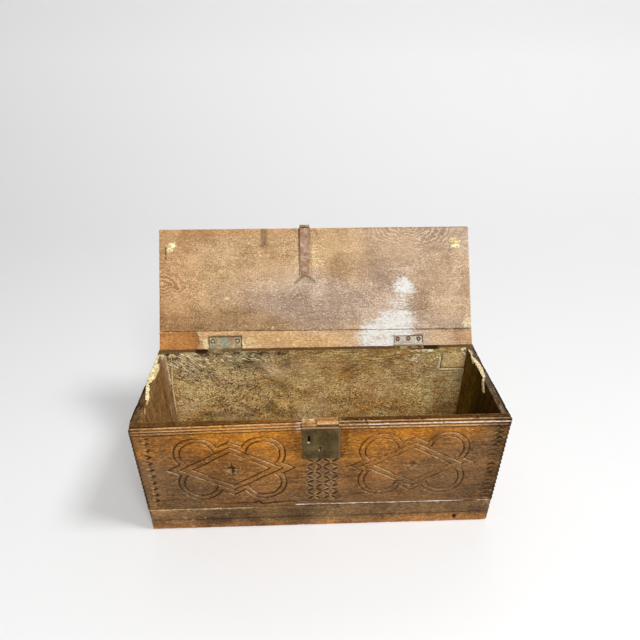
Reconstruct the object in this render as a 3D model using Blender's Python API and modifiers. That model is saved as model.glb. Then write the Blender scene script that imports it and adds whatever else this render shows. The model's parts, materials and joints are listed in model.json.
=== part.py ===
"""Open boarded oak trunk: lapped and pegged boards, butt hinges, and a hasp with its plate lock."""
import math

import bmesh
import bpy
from mathutils import Matrix, Vector

# Carcass boards, in metres
WIDTH = 0.690
DEPTH = 0.256
HEIGHT = 0.271
FRONT_T = 0.0175
SIDE_T = 0.0155
BACK_T = 0.0155
BOTTOM_T = 0.016

# Base rail under the front board
PLINTH_H = 0.0565
PLINTH_PROUD = 0.002
PLINTH_INSET = 0.002
PLINTH_ROUND = 0.0025
PLINTH_SCRATCH_Z = 0.027
SCRATCH_DEPTH = 0.0008

# Reeds worked along the top of the front board
REED_W = 0.0071
REED_DEPTH = 0.0014
TOP_REED_W = 0.0070

# Lid of two boards, open against its stop
LID_T = 0.016
LID_OVERHANG = 0.004
LID_ROUND = 0.002
LID_STRIP_LEFT = 0.037
LID_STRIP_RIGHT = 0.032
LID_OPEN = math.radians(125.5)

# Butt hinges, of unlike length, with their slotted screws
HINGE_MID = 0.202
LEFT_HINGE_L = 0.071
RIGHT_HINGE_L = 0.0635
LEFT_LEAF_REACH = 0.0235
RIGHT_LEAF_REACH = 0.0190
LEAF_T = 0.0016
LEAF_MARGIN = 0.0015
KNUCKLE_R = 0.0033
KNUCKLE_PLAY = 0.0005
KNUCKLES = 5
HINGE_PIN_R = 0.0015
SCREW_HEAD_R = 0.0038
SCREW_SHANK_R = 0.0016
SCREW_LENGTH = 0.011
SCREW_EDGE = 0.0085
SCREW_STAGGER = 0.0012
SLOT_W = 0.0010
SLOT_DEPTH = 0.0006

# Hasp strap under the lid and the hasp that hangs from it
HASP_X = -0.0235
STRAP_L = 0.108
STRAP_W = 0.0235
STRAP_END_W = 0.018
STRAP_T = 0.0024
HASP_KNUCKLE_R = 0.0033
HASP_PIN_R = 0.0015
HASP_W = 0.022
HASP_END_W = 0.014
HASP_T = 0.0024
HASP_TAIL = 0.013
HASP_LIFT = 0.0015
HASP_PLAY = 0.0006
STAPLE_T = 0.0026
STAPLE_WEB = 0.0022
STAPLE_HEAD_T = 0.0012

# Plate lock let into the front board
PLATE_X = -0.001
PLATE_W = 0.071
PLATE_TOP_DROP = 0.009
PLATE_H = 0.077
PLATE_T = 0.002
STAPLE_SLOT_DROP = 0.0367
STAPLE_SLOT_H = 0.0155
STAPLE_SLOT_W = 0.0044
KEYHOLE_X = -0.003
KEYHOLE_DROP = 0.0587
KEYHOLE_R = 0.0024
KEYHOLE_TAIL = 0.0065
KEYHOLE_TAIL_W = 0.0024
MORTISE_WALL = 0.003
MORTISE_MARGIN = 0.0025
BOLT_H = 0.005
BOLT_T = 0.004
BOLT_THROW = 0.009
BOLT_LEG_W = 0.007
BOLT_LEG_GAP = 0.006
BOLT_PLAY = 0.0006
GUIDE_W = 0.004
GUIDE_WALL = 0.0014
SPRING_T = 0.0009
SPRING_RISE = 0.005
CAP_T = 0.0012
DRILL_PIN_R = 0.0012

# Small fixings
PEG_R = 0.0032
PEG_GRIP = 0.022
NAIL_SHANK_R = 0.0011
NAIL_HEAD_R = 0.0024
NAIL_HEAD_H = 0.0011
STRAP_NAIL_GRIP = 0.010
STRAP_NAIL_GAP = 0.0015
LOCK_NAIL_GRIP = 0.009
LOCK_NAIL_EDGE = 0.0042

# Repairs let into the wood
EDGE_PATCH_L = 0.039
EDGE_PATCH_DEPTH = 0.0085
NOTCH_WEB = 0.002
BACK_PATCH_W = 0.054
BACK_PATCH_H = 0.040
BACK_PATCH_T = 0.005
BACK_PATCH_DROP = 0.013

CLEAR = 0.0003
REACH = 0.002
ROUND_SIDES = 20
PEG_SIDES = 12
NAIL_SIDES = 8

# Places that follow from the sizes above
FRONT_Y = -DEPTH / 2
FRONT_IN_Y = FRONT_Y + FRONT_T
BACK_Y = DEPTH / 2
BACK_IN_Y = BACK_Y - BACK_T
HINGE_OUT = KNUCKLE_R + KNUCKLE_PLAY
AXIS_Y = BACK_Y + HINGE_OUT
AXIS_Z = HEIGHT + CLEAR / 2
LID_TAIL = (HINGE_OUT - CLEAR) / -math.cos(LID_OPEN)
LID_REACH = HINGE_OUT + DEPTH + LID_OVERHANG
LID_UNDER = CLEAR / 2
STRAP_LOW = LID_UNDER - CLEAR - STRAP_T
HASP_REACH = LID_REACH + CLEAR + HASP_KNUCKLE_R
HASP_UP = STRAP_LOW + HASP_KNUCKLE_R + CLEAR / 2
HASP_TO_FACE = LID_OVERHANG + CLEAR + HASP_KNUCKLE_R
HASP_BACK = HASP_TO_FACE - NAIL_HEAD_H - HASP_PLAY
HASP_FACE = HASP_BACK - HASP_T
NOTCH_W = STRAP_W + 4 * CLEAR
NOTCH_DEPTH = STRAP_T + 2 * CLEAR
PLATE_TOP = HEIGHT - PLATE_TOP_DROP
PLATE_LEFT = PLATE_X - PLATE_W / 2
PLATE_RIGHT = PLATE_X + PLATE_W / 2
PLATE_BACK_Y = FRONT_Y + PLATE_T
SLOT_Z = HEIGHT - STAPLE_SLOT_DROP
KEY_Z = HEIGHT - KEYHOLE_DROP
BOLT_Y = PLATE_BACK_Y + 2 * CLEAR
BOLT_TIP = HASP_X + STAPLE_SLOT_W / 2 + CLEAR
GUIDE_LEFT = BOLT_TIP + GUIDE_W
LEG_LEFT = GUIDE_LEFT + GUIDE_W / 2 + BOLT_THROW + BOLT_LEG_GAP
GUIDE_RIGHT = LEG_LEFT + BOLT_LEG_W + GUIDE_W
MORTISE_LEFT = BOLT_TIP - BOLT_THROW - MORTISE_MARGIN
MORTISE_RIGHT = GUIDE_RIGHT + GUIDE_W + BOLT_THROW + MORTISE_MARGIN
MORTISE_FLOOR = FRONT_IN_Y - MORTISE_WALL
SPRING_TOP = SLOT_Z + BOLT_H / 2 + CLEAR + SPRING_RISE + SPRING_T
MORTISE_TOP = SPRING_TOP + MORTISE_MARGIN
MORTISE_LOW = KEY_Z - KEYHOLE_R - KEYHOLE_TAIL - MORTISE_MARGIN
PEG_HOLE_R = PEG_R + CLEAR
NAIL_HOLE_R = NAIL_SHANK_R + CLEAR

AXES = {"X": (1, 2, 0), "Y": (0, 2, 1), "Z": (0, 1, 2)}


def clear_scene():
    """Remove every object that is in the file."""
    for old in list(bpy.data.objects):
        bpy.data.objects.remove(old, do_unlink=True)


def new_collection(name):
    """A collection linked to the scene."""
    group = bpy.data.collections.new(name)
    bpy.context.scene.collection.children.link(group)
    return group


def new_material(name, colour, roughness, metallic):
    """A Principled material of one colour."""
    made = bpy.data.materials.new(name)
    made.use_nodes = True
    shader = made.node_tree.nodes["Principled BSDF"]
    shader.inputs["Base Color"].default_value = (*colour, 1.0)
    shader.inputs["Roughness"].default_value = roughness
    shader.inputs["Metallic"].default_value = metallic
    made.diffuse_color = (*colour, 1.0)
    return made


def block(low, high):
    """A box between two corners."""
    low, high = Vector(low), Vector(high)
    place = Matrix.Translation((low + high) / 2) @ Matrix.Diagonal((*(high - low), 1.0))
    bm = bmesh.new()
    bmesh.ops.create_cube(bm, size=1.0, matrix=place)
    return bm


def rod(start, end, radius, sides=ROUND_SIDES):
    """A cylinder between two points."""
    start, end = Vector(start), Vector(end)
    turn = (end - start).to_track_quat("Z", "Y").to_matrix().to_4x4()
    place = Matrix.Translation((start + end) / 2) @ turn
    bm = bmesh.new()
    bmesh.ops.create_cone(bm, cap_ends=True, segments=sides, radius1=radius, radius2=radius,
                          depth=(end - start).length, matrix=place)
    return bm


def prism(outline, axis, low, high):
    """A flat outline pulled along one axis from low to high."""
    across, up, along = AXES[axis]
    bm = bmesh.new()
    corners = []
    for u, v in outline:
        point = Vector()
        point[across], point[up], point[along] = u, v, low
        corners.append(bm.verts.new(point))
    pulled = bmesh.ops.extrude_face_region(bm, geom=[bm.faces.new(corners)])
    moved = [item for item in pulled["geom"] if isinstance(item, bmesh.types.BMVert)]
    shift = Vector()
    shift[along] = high - low
    bmesh.ops.translate(bm, verts=moved, vec=shift)
    bmesh.ops.recalc_face_normals(bm, faces=bm.faces)
    return bm


def together(pieces):
    """Volumes that don't meet, kept in one mesh."""
    whole = bmesh.new()
    for piece in pieces:
        mesh = bpy.data.meshes.new("piece")
        piece.to_mesh(mesh)
        piece.free()
        whole.from_mesh(mesh)
        bpy.data.meshes.remove(mesh)
    return whole


def bow(start, end, rise, steps):
    """Points after start along a circular arc to end that rises to the left of the way."""
    start, end = Vector(start), Vector(end)
    half = (end - start).length / 2
    radius = (half * half + rise * rise) / (2 * rise)
    along = (end - start).normalized()
    left = Vector((-along.y, along.x))
    centre = (start + end) / 2 - left * (radius - rise)
    sweep = math.asin(min(1.0, half / radius))
    points = []
    for step in range(1, steps + 1):
        angle = -sweep + 2 * sweep * step / steps
        points.append(tuple(centre + along * radius * math.sin(angle) + left * radius * math.cos(angle)))
    return points


def corner(centre, radius, start, end, steps=4):
    """Points along an arc about a centre, with its angles in degrees."""
    points = []
    for step in range(steps + 1):
        angle = math.radians(start + (end - start) * step / steps)
        points.append((centre[0] + radius * math.cos(angle), centre[1] + radius * math.sin(angle)))
    return points


def add_object(name, bm, group, parent=None):
    """An object made from a mesh under construction, shaded smooth but for its sharp edges."""
    mesh = bpy.data.meshes.new(name)
    bm.to_mesh(mesh)
    bm.free()
    mesh.shade_smooth()
    mesh.set_sharp_from_angle(angle=math.radians(30))
    made = bpy.data.objects.new(name, mesh)
    group.objects.link(made)
    made.parent = parent
    return made


def add_part(name, bm, finish, parent=None):
    """A sub-part of the trunk in its own finish."""
    made = add_object(name, bm, TRUNK, parent)
    made.data.materials.append(finish)
    return made


def shape_by(target, bm, parent=None, operation="DIFFERENCE"):
    """Cut a sub-part by a volume, or join the volume to it."""
    tool = add_object(f"{target.name}_tool_{len(target.modifiers)}", bm, TOOLS, parent)
    tool.hide_render = True
    tool.display_type = "WIRE"
    step = target.modifiers.new(operation.title(), "BOOLEAN")
    step.operation = operation
    step.object = tool
    step.solver = "EXACT"


def turned(name, profile, steps, finish, place, parent=None):
    """A profile, top to bottom on its outer side, spun about the Z axis and then placed."""
    bm = bmesh.new()
    points = [bm.verts.new((radius, 0.0, height)) for radius, height in profile]
    for first, second in zip(points, points[1:]):
        bm.edges.new((first, second))
    made = add_part(name, bm, finish, parent)
    spin = made.modifiers.new("Spin", "SCREW")
    spin.steps = steps
    spin.render_steps = steps
    spin.use_merge_vertices = True
    spin.merge_threshold = 0.00001
    made.matrix_local = place
    return made


def facing(point, direction):
    """A placing at a point whose Z axis looks along a direction."""
    return Matrix.Translation(point) @ Vector(direction).to_track_quat("Z", "Y").to_matrix().to_4x4()


def rose_nail(name, seat, outward, grip, parent=None):
    """A small forged nail whose faceted head stands on its seat."""
    profile = [(0.0, NAIL_HEAD_H), (NAIL_HEAD_R * 0.55, NAIL_HEAD_H * 0.8), (NAIL_HEAD_R, CLEAR),
               (NAIL_SHANK_R, CLEAR), (NAIL_SHANK_R * 0.7, -grip + NAIL_SHANK_R * 2), (0.0, -grip)]
    turned(name, profile, NAIL_SIDES, IRON, facing(seat, outward), parent)


def peg(name, start, end):
    """A riven oak peg, cut flush, that holds one board to the next."""
    add_part(name, rod(start, end, PEG_R, PEG_SIDES), PEG_OAK)


def reeded_profile(low):
    """Section of the front board: a flat rim, one reed on the top and two down the face."""
    y, z, d = FRONT_Y, HEIGHT, REED_DEPTH
    points = [(FRONT_IN_Y, low), (FRONT_IN_Y, z), (y + d + TOP_REED_W + d / 2, z)]
    points.append((y + d + TOP_REED_W, z - d))
    groove = (y + d, z - d)
    points += bow(points[-1], groove, -d, 6)
    for _ in range(2):
        below = (groove[0], groove[1] - REED_W)
        points += bow(groove, below, -d, 6)
        groove = below
    points += [(y, groove[1] - d / 2), (y, low)]
    return points


def plinth_profile():
    """Section of the base rail: eased arrises and one scratched line along the face."""
    y, r, z = FRONT_Y - PLINTH_PROUD, PLINTH_ROUND, PLINTH_SCRATCH_Z
    points = [(FRONT_IN_Y, 0.0), (FRONT_IN_Y, PLINTH_H)]
    points += corner((y + r, PLINTH_H - r), r, 90, 180)
    points += [(y, z + SCRATCH_DEPTH), (y + SCRATCH_DEPTH, z), (y, z - SCRATCH_DEPTH)]
    points += corner((y + r, r), r, 180, 270)
    return points


def peg_rows():
    """Pegs that hold the front board, base rail and back board, as name, start and end."""
    rows = []
    side_x = WIDTH / 2 - SIDE_T / 2
    front_tall = HEIGHT - PLINTH_H
    grip_y = FRONT_IN_Y + PEG_GRIP
    for side, x in (("left", -side_x), ("right", side_x)):
        for number, share in enumerate((0.14, 0.5, 0.80), 1):
            z = PLINTH_H + front_tall * share
            rows.append(("front", f"front_peg_{side}_{number}", (x, FRONT_Y, z), (x, grip_y, z)))
        for number, share in enumerate((0.25, 0.75), 1):
            z = HEIGHT * share
            rows.append(("back", f"back_peg_{side}_{number}", (x, BACK_Y, z), (x, BACK_IN_Y - PEG_GRIP, z)))
        z = PLINTH_H * 0.7
        start_y = FRONT_Y - PLINTH_PROUD
        rows.append(("plinth", f"plinth_peg_{side}_end", (x, start_y, z), (x, grip_y, z)))
        z = BOTTOM_T / 2
        rows.append(("bottom", f"plinth_peg_{side}_middle", (x / 3, start_y, z), (x / 3, grip_y, z)))
    return rows


def peg_holes(keep):
    """Holes for the pegs that a test keeps, run a little past both ends."""
    holes = []
    for group, name, start, end in peg_rows():
        if keep(group, name):
            past = (Vector(end) - Vector(start)).normalized() * REACH
            holes.append(rod(Vector(start) - past, Vector(end) + past, PEG_HOLE_R, PEG_SIDES))
    return together(holes)


def lock_nail_seats():
    """Places of the lock plate's nails on its face."""
    across = PLATE_W / 2 - LOCK_NAIL_EDGE
    low = PLATE_TOP - PLATE_H + LOCK_NAIL_EDGE
    high = PLATE_TOP - LOCK_NAIL_EDGE
    return [(PLATE_X + side * across, FRONT_Y, z) for side in (-1, 1) for z in (low, high)]


def lock_nail_holes():
    """Holes for the lock plate's nails."""
    past = Vector((0.0, LOCK_NAIL_GRIP + REACH, 0.0))
    before = Vector((0.0, -REACH, 0.0))
    seats = [Vector(seat) for seat in lock_nail_seats()]
    return [rod(seat + before, seat + past, NAIL_HOLE_R, NAIL_SIDES) for seat in seats]


def edge_patch_span():
    """Left and right ends of the repair beside the strap's notch."""
    left = HASP_X + NOTCH_W / 2 + NOTCH_WEB
    return left, left + EDGE_PATCH_L


def make_front():
    """The carved board's blank: reeded, notched for the strap, and let in for the lock and a repair."""
    low = PLINTH_H + CLEAR
    front = add_part("front_board", prism(reeded_profile(low), "X", -WIDTH / 2, WIDTH / 2), CARVED_OAK)
    left, right = edge_patch_span()
    patch_low = PLATE_TOP + 3 * CLEAR
    sinkings = [
        block((PLATE_LEFT - CLEAR, FRONT_Y - REACH, PLATE_TOP - PLATE_H - CLEAR),
              (PLATE_RIGHT + CLEAR, PLATE_BACK_Y + CLEAR, PLATE_TOP + CLEAR)),
        block((HASP_X - NOTCH_W / 2, FRONT_Y - REACH, HEIGHT - NOTCH_DEPTH),
              (HASP_X + NOTCH_W / 2, FRONT_IN_Y + REACH, HEIGHT + REACH)),
        block((left - CLEAR, FRONT_Y - REACH, patch_low - CLEAR),
              (right + CLEAR, FRONT_Y + EDGE_PATCH_DEPTH + CLEAR, HEIGHT + REACH)),
    ]
    shape_by(front, together(sinkings))
    mortise = block((MORTISE_LEFT, FRONT_Y - REACH, MORTISE_LOW), (MORTISE_RIGHT, MORTISE_FLOOR, MORTISE_TOP))
    shape_by(front, together([mortise] + lock_nail_holes()))
    shape_by(front, peg_holes(lambda group, name: group == "front"))
    patch = block((left, FRONT_Y, patch_low), (right, FRONT_Y + EDGE_PATCH_DEPTH, HEIGHT))
    add_part("front_edge_patch", patch, PATCH_OAK)


def make_plinth():
    """The base rail under the front board."""
    end = WIDTH / 2 - PLINTH_INSET
    rail = add_part("plinth_rail", prism(plinth_profile(), "X", -end, end), DARK_OAK)
    shape_by(rail, peg_holes(lambda group, name: group in ("plinth", "bottom")))


def make_sides():
    """Side boards between the front and back boards, which lap their ends."""
    for side, sign in (("left", -1), ("right", 1)):
        outer, inner = sign * WIDTH / 2, sign * (WIDTH / 2 - SIDE_T)
        low = (min(outer, inner), FRONT_IN_Y + CLEAR, 0.0)
        high = (max(outer, inner), BACK_IN_Y - CLEAR, HEIGHT)
        board = add_part(f"{side}_side_board", block(low, high), PLAIN_OAK)
        shape_by(board, peg_holes(lambda group, name: side in name and group != "bottom"))


def make_bottom():
    """The bottom board, flush with the boards' lower edges."""
    across = WIDTH / 2 - SIDE_T - CLEAR
    low = (-across, FRONT_IN_Y + CLEAR, 0.0)
    high = (across, BACK_IN_Y - CLEAR, BOTTOM_T)
    board = add_part("bottom_board", block(low, high), PLAIN_OAK)
    shape_by(board, peg_holes(lambda group, name: group == "bottom"))


def make_back():
    """The back board, with sinkings for the hinge leaves in its top edge and a repair inside."""
    blank = block((-WIDTH / 2, BACK_IN_Y, 0.0), (WIDTH / 2, BACK_Y, HEIGHT))
    board = add_part("back_board", blank, PLAIN_OAK)
    right = WIDTH / 2 - SIDE_T - 2 * CLEAR
    low = (right - BACK_PATCH_W, BACK_IN_Y, HEIGHT - BACK_PATCH_DROP - BACK_PATCH_H)
    high = (right, BACK_IN_Y + BACK_PATCH_T, HEIGHT - BACK_PATCH_DROP)
    gap = Vector((CLEAR, CLEAR, CLEAR))
    sinkings = [block(Vector(low) - gap - Vector((0.0, REACH, 0.0)), Vector(high) + gap)]
    screw_holes = []
    for hinge in HINGES:
        seat = (hinge["left"] - CLEAR, AXIS_Y - hinge["box_reach"] - CLEAR, HEIGHT - LEAF_T - CLEAR)
        far = (hinge["left"] + hinge["length"] + CLEAR, BACK_Y + REACH, HEIGHT + REACH)
        sinkings.append(block(seat, far))
        for x, reach in hinge["box_screws"]:
            top = Vector((x, AXIS_Y - reach, HEIGHT + REACH))
            foot = Vector((x, AXIS_Y - reach, HEIGHT - SCREW_LENGTH - CLEAR))
            screw_holes.append(rod(top, foot, SCREW_SHANK_R + CLEAR, PEG_SIDES))
    shape_by(board, together(sinkings))
    shape_by(board, together(screw_holes))
    shape_by(board, peg_holes(lambda group, name: group == "back"))
    add_part("back_patch", block(low, high), PATCH_OAK)


def make_pegs():
    """Every peg in its place."""
    for _, name, start, end in peg_rows():
        peg(name, start, end)


def make_lid():
    """The wide lid board and the narrow strip that the hinges hold, edge to edge."""
    half, top = WIDTH / 2, LID_UNDER + LID_T
    r = LID_ROUND
    joint = [(-half, -LID_STRIP_LEFT), (half, -LID_STRIP_RIGHT)]
    section = [(LID_TAIL, LID_UNDER), (LID_TAIL, top)]
    section += corner((-LID_REACH + r, top - r), r, 90, 180)
    section += corner((-LID_REACH + r, LID_UNDER + r), r, 180, 270)
    far = LID_REACH + LID_TAIL
    behind = [(x, y - CLEAR / 2) for x, y in joint] + [(half + REACH, far), (-half - REACH, far)]
    behind[0] = (-half - REACH, behind[0][1])
    behind[1] = (half + REACH, behind[1][1])
    board = add_part("lid_board", prism(section, "X", -half, half), LID_OAK, LID_AXIS)
    shape_by(board, prism(behind, "Z", LID_UNDER - REACH, top + REACH), LID_AXIS)
    nails = [rod((x, y, LID_UNDER - REACH), (x, y, LID_UNDER + STRAP_NAIL_GRIP), NAIL_HOLE_R, NAIL_SIDES)
             for x, y in strap_nail_places()]
    shape_by(board, together(nails), LID_AXIS)

    outline = [(x, y + CLEAR / 2) for x, y in joint] + [(half, LID_TAIL), (-half, LID_TAIL)]
    strip = add_part("lid_hinge_strip", prism(outline, "Z", LID_UNDER, top), LID_OAK, LID_AXIS)
    sinkings, screw_holes = [], []
    for hinge in HINGES:
        deep, near = LID_UNDER + LEAF_T + CLEAR, -KNUCKLE_R - 2 * CLEAR
        over, rear = KNUCKLE_R + 2 * CLEAR, LID_TAIL + REACH
        reach = -hinge["lid_reach"] - CLEAR
        under = LID_UNDER - REACH
        seat = [(reach, under), (rear, under), (rear, over), (near, over), (near, deep), (reach, deep)]
        sinkings.append(prism(seat, "X", hinge["left"] - CLEAR, hinge["left"] + hinge["length"] + CLEAR))
        for x, reach in hinge["lid_screws"]:
            screw_holes.append(rod((x, -reach, under), (x, -reach, LID_UNDER + SCREW_LENGTH + CLEAR),
                                   SCREW_SHANK_R + CLEAR, PEG_SIDES))
    shape_by(strip, together(sinkings), LID_AXIS)
    shape_by(strip, together(screw_holes), LID_AXIS)


def hinge_plan(side, middle, length, lid_reach, screws):
    """Sizes and screw places of one butt hinge, with places as x and reach from the pin."""
    left = middle - length / 2
    box_reach = HINGE_OUT + BACK_T - LEAF_MARGIN
    spots = [left + SCREW_EDGE + (length - 2 * SCREW_EDGE) * i / (screws - 1) for i in range(screws)]
    box_mid = (box_reach + HINGE_OUT) / 2
    lid_mid = (lid_reach + KNUCKLE_R) / 2
    lid_screws = []
    for number, x in enumerate(spots):
        stagger = SCREW_STAGGER if 0 < number < screws - 1 else 0.0
        lid_screws.append((x, lid_mid + stagger))
    return {"side": side, "left": left, "length": length, "lid_reach": lid_reach, "box_reach": box_reach,
            "box_screws": [(x, box_mid) for x in spots], "lid_screws": lid_screws}


def knuckle_spans(left, length, count, own):
    """Ends along X of the knuckles that one leaf owns."""
    pitch = length / count
    return [(left + i * pitch + CLEAR / 2, left + (i + 1) * pitch - CLEAR / 2) for i in own]


def comb_outline(left, length, reach, spans, root):
    """A leaf's outline in plan, with a tooth at Y = 0 for each of its knuckles."""
    outline = [(left, -reach), (left + length, -reach), (left + length, -root)]
    for start, end in reversed(spans):
        outline += [(end, -root), (end, 0.0), (start, 0.0), (start, -root)]
    outline.append((left, -root))
    return outline


def knuckled_leaf(name, plate, spans, radius, pin_radius, finish, parent):
    """A plate with its knuckles rolled about the X axis and bored for the pin."""
    leaf = add_part(name, plate, finish, parent)
    barrels = [rod((start, 0.0, 0.0), (end, 0.0, 0.0), radius) for start, end in spans]
    shape_by(leaf, together(barrels), parent, "UNION")
    first, last = spans[0][0] - REACH, spans[-1][1] + REACH
    shape_by(leaf, rod((first, 0.0, 0.0), (last, 0.0, 0.0), pin_radius + CLEAR), parent)
    return leaf


def make_pin(name, left, length, radius, finish, parent):
    """A hinge pin with eased ends."""
    half = length / 2
    ease = radius * 0.3
    profile = [(0.0, half), (radius - ease, half), (radius, half - ease),
               (radius, -half + ease), (radius - ease, -half), (0.0, -half)]
    turned(name, profile, ROUND_SIDES, finish, facing((left + half, 0.0, 0.0), (1, 0, 0)), parent)


def slotted_screw(name, seat, outward, turn, finish, parent):
    """A countersunk screw flush with its seat, its slot turned by an angle."""
    top = -CLEAR / 2
    profile = [(0.0, top), (SCREW_HEAD_R, top), (SCREW_SHANK_R, top - LEAF_T),
               (SCREW_SHANK_R, -SCREW_LENGTH + 2 * SCREW_SHANK_R), (0.0, -SCREW_LENGTH)]
    place = facing(seat, outward) @ Matrix.Rotation(turn, 4, "Z")
    screw = turned(name, profile, PEG_SIDES, finish, place, parent)
    wide = SCREW_HEAD_R + REACH
    slot = block((-wide, -SLOT_W / 2, top - SLOT_DEPTH), (wide, SLOT_W / 2, REACH))
    shape_by(screw, slot, screw)


def countersinks(spots, face, outward):
    """Countersunk holes through a leaf, from its shown face inwards."""
    holes = []
    for x, reach in spots:
        bm = bmesh.new()
        deep = LEAF_T + 2 * REACH
        slope = (SCREW_HEAD_R - SCREW_SHANK_R) / LEAF_T
        wide = SCREW_HEAD_R + CLEAR + slope * REACH
        narrow = wide - slope * deep
        bmesh.ops.create_cone(bm, cap_ends=True, segments=PEG_SIDES, radius1=max(narrow, SCREW_SHANK_R * 0.2),
                              radius2=wide, depth=deep)
        bmesh.ops.translate(bm, verts=bm.verts, vec=(0.0, 0.0, REACH - deep / 2))
        bmesh.ops.transform(bm, verts=bm.verts, matrix=facing((x, -reach, face), outward))
        holes.append(bm)
    return together(holes)


def make_hinges():
    """Two butt hinges: a leaf under the lid, a leaf on the back board, a pin and the screws."""
    slot_turn = math.radians(37)
    for hinge in HINGES:
        side, left, length = hinge["side"], hinge["left"], hinge["length"]
        finish = AGED_BRASS if side == "left" else PALE_IRON
        root = KNUCKLE_R + CLEAR
        face = CLEAR / 2
        box_spans = knuckle_spans(left, length, KNUCKLES, range(0, KNUCKLES, 2))
        lid_spans = knuckle_spans(left, length, KNUCKLES, range(1, KNUCKLES, 2))
        outline = comb_outline(left, length, hinge["box_reach"], box_spans, root)
        plate = prism(outline, "Z", -face - LEAF_T, -face)
        name = f"{side}_hinge_box_leaf"
        leaf = knuckled_leaf(name, plate, box_spans, KNUCKLE_R, HINGE_PIN_R, finish, BOX_AXIS)
        shape_by(leaf, countersinks(hinge["box_screws"], -face, (0, 0, 1)), BOX_AXIS)
        outline = comb_outline(left, length, hinge["lid_reach"], lid_spans, root)
        plate = prism(outline, "Z", face, face + LEAF_T)
        name = f"{side}_hinge_lid_leaf"
        leaf = knuckled_leaf(name, plate, lid_spans, KNUCKLE_R, HINGE_PIN_R, finish, LID_AXIS)
        shape_by(leaf, countersinks(hinge["lid_screws"], face, (0, 0, -1)), LID_AXIS)
        make_pin(f"{side}_hinge_pin", left, length, HINGE_PIN_R, finish, BOX_AXIS)
        for number, (x, reach) in enumerate(hinge["box_screws"], 1):
            slotted_screw(f"{side}_hinge_box_screw_{number}", (x, -reach, -face), (0, 0, 1),
                          slot_turn * number, IRON, BOX_AXIS)
        for number, (x, reach) in enumerate(hinge["lid_screws"], 1):
            slotted_screw(f"{side}_hinge_lid_screw_{number}", (x, -reach, face), (0, 0, -1),
                          slot_turn * (number + 2), IRON, LID_AXIS)


def strap_nail_places():
    """Places of the strap's nails in the lid's frame, all behind the closed front board."""
    first = LID_OVERHANG + FRONT_T + NAIL_HEAD_R + STRAP_NAIL_GAP
    last = STRAP_L - STRAP_END_W / 2
    return [(HASP_X, -LID_REACH + first + (last - first) * step / 2) for step in range(3)]


def make_strap():
    """The iron strap nailed under the lid, its front end rolled into two knuckles."""
    third = HASP_W / 3
    left = HASP_X - HASP_W / 2
    spans = [(left, left + third - CLEAR / 2), (left + 2 * third + CLEAR / 2, left + HASP_W)]
    inner = HASP_REACH - LID_REACH + STRAP_L
    root = HASP_KNUCKLE_R + CLEAR
    outline = []
    for start, end in reversed(spans):
        outline += [(end, root), (end, 0.0), (start, 0.0), (start, root)]
    point = STRAP_END_W / 3
    outline += [(HASP_X - STRAP_W / 2, root), (HASP_X - STRAP_END_W / 2, inner - point),
                (HASP_X - point, inner), (HASP_X + point, inner),
                (HASP_X + STRAP_END_W / 2, inner - point), (HASP_X + STRAP_W / 2, root)]
    low = STRAP_LOW - HASP_UP
    plate = prism(outline, "Z", low, low + STRAP_T)
    strap = knuckled_leaf("hasp_strap", plate, spans, HASP_KNUCKLE_R, HASP_PIN_R, IRON, STRAP_AXIS)
    holes = [rod((x, y, STRAP_LOW - REACH), (x, y, LID_UNDER), NAIL_HOLE_R, NAIL_SIDES)
             for x, y in strap_nail_places()]
    shape_by(strap, together(holes), LID_AXIS)
    make_pin("hasp_pin", left, HASP_W, HASP_PIN_R, IRON, STRAP_AXIS)
    for number, (x, y) in enumerate(strap_nail_places(), 1):
        rose_nail(f"hasp_strap_nail_{number}", (x, y, STRAP_LOW), (0, 0, -1),
                  STRAP_T + STRAP_NAIL_GRIP - CLEAR, LID_AXIS)


def staple_level():
    """Height of the staple's middle below the hasp's pin."""
    return SLOT_Z - AXIS_Z - HASP_UP


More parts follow.
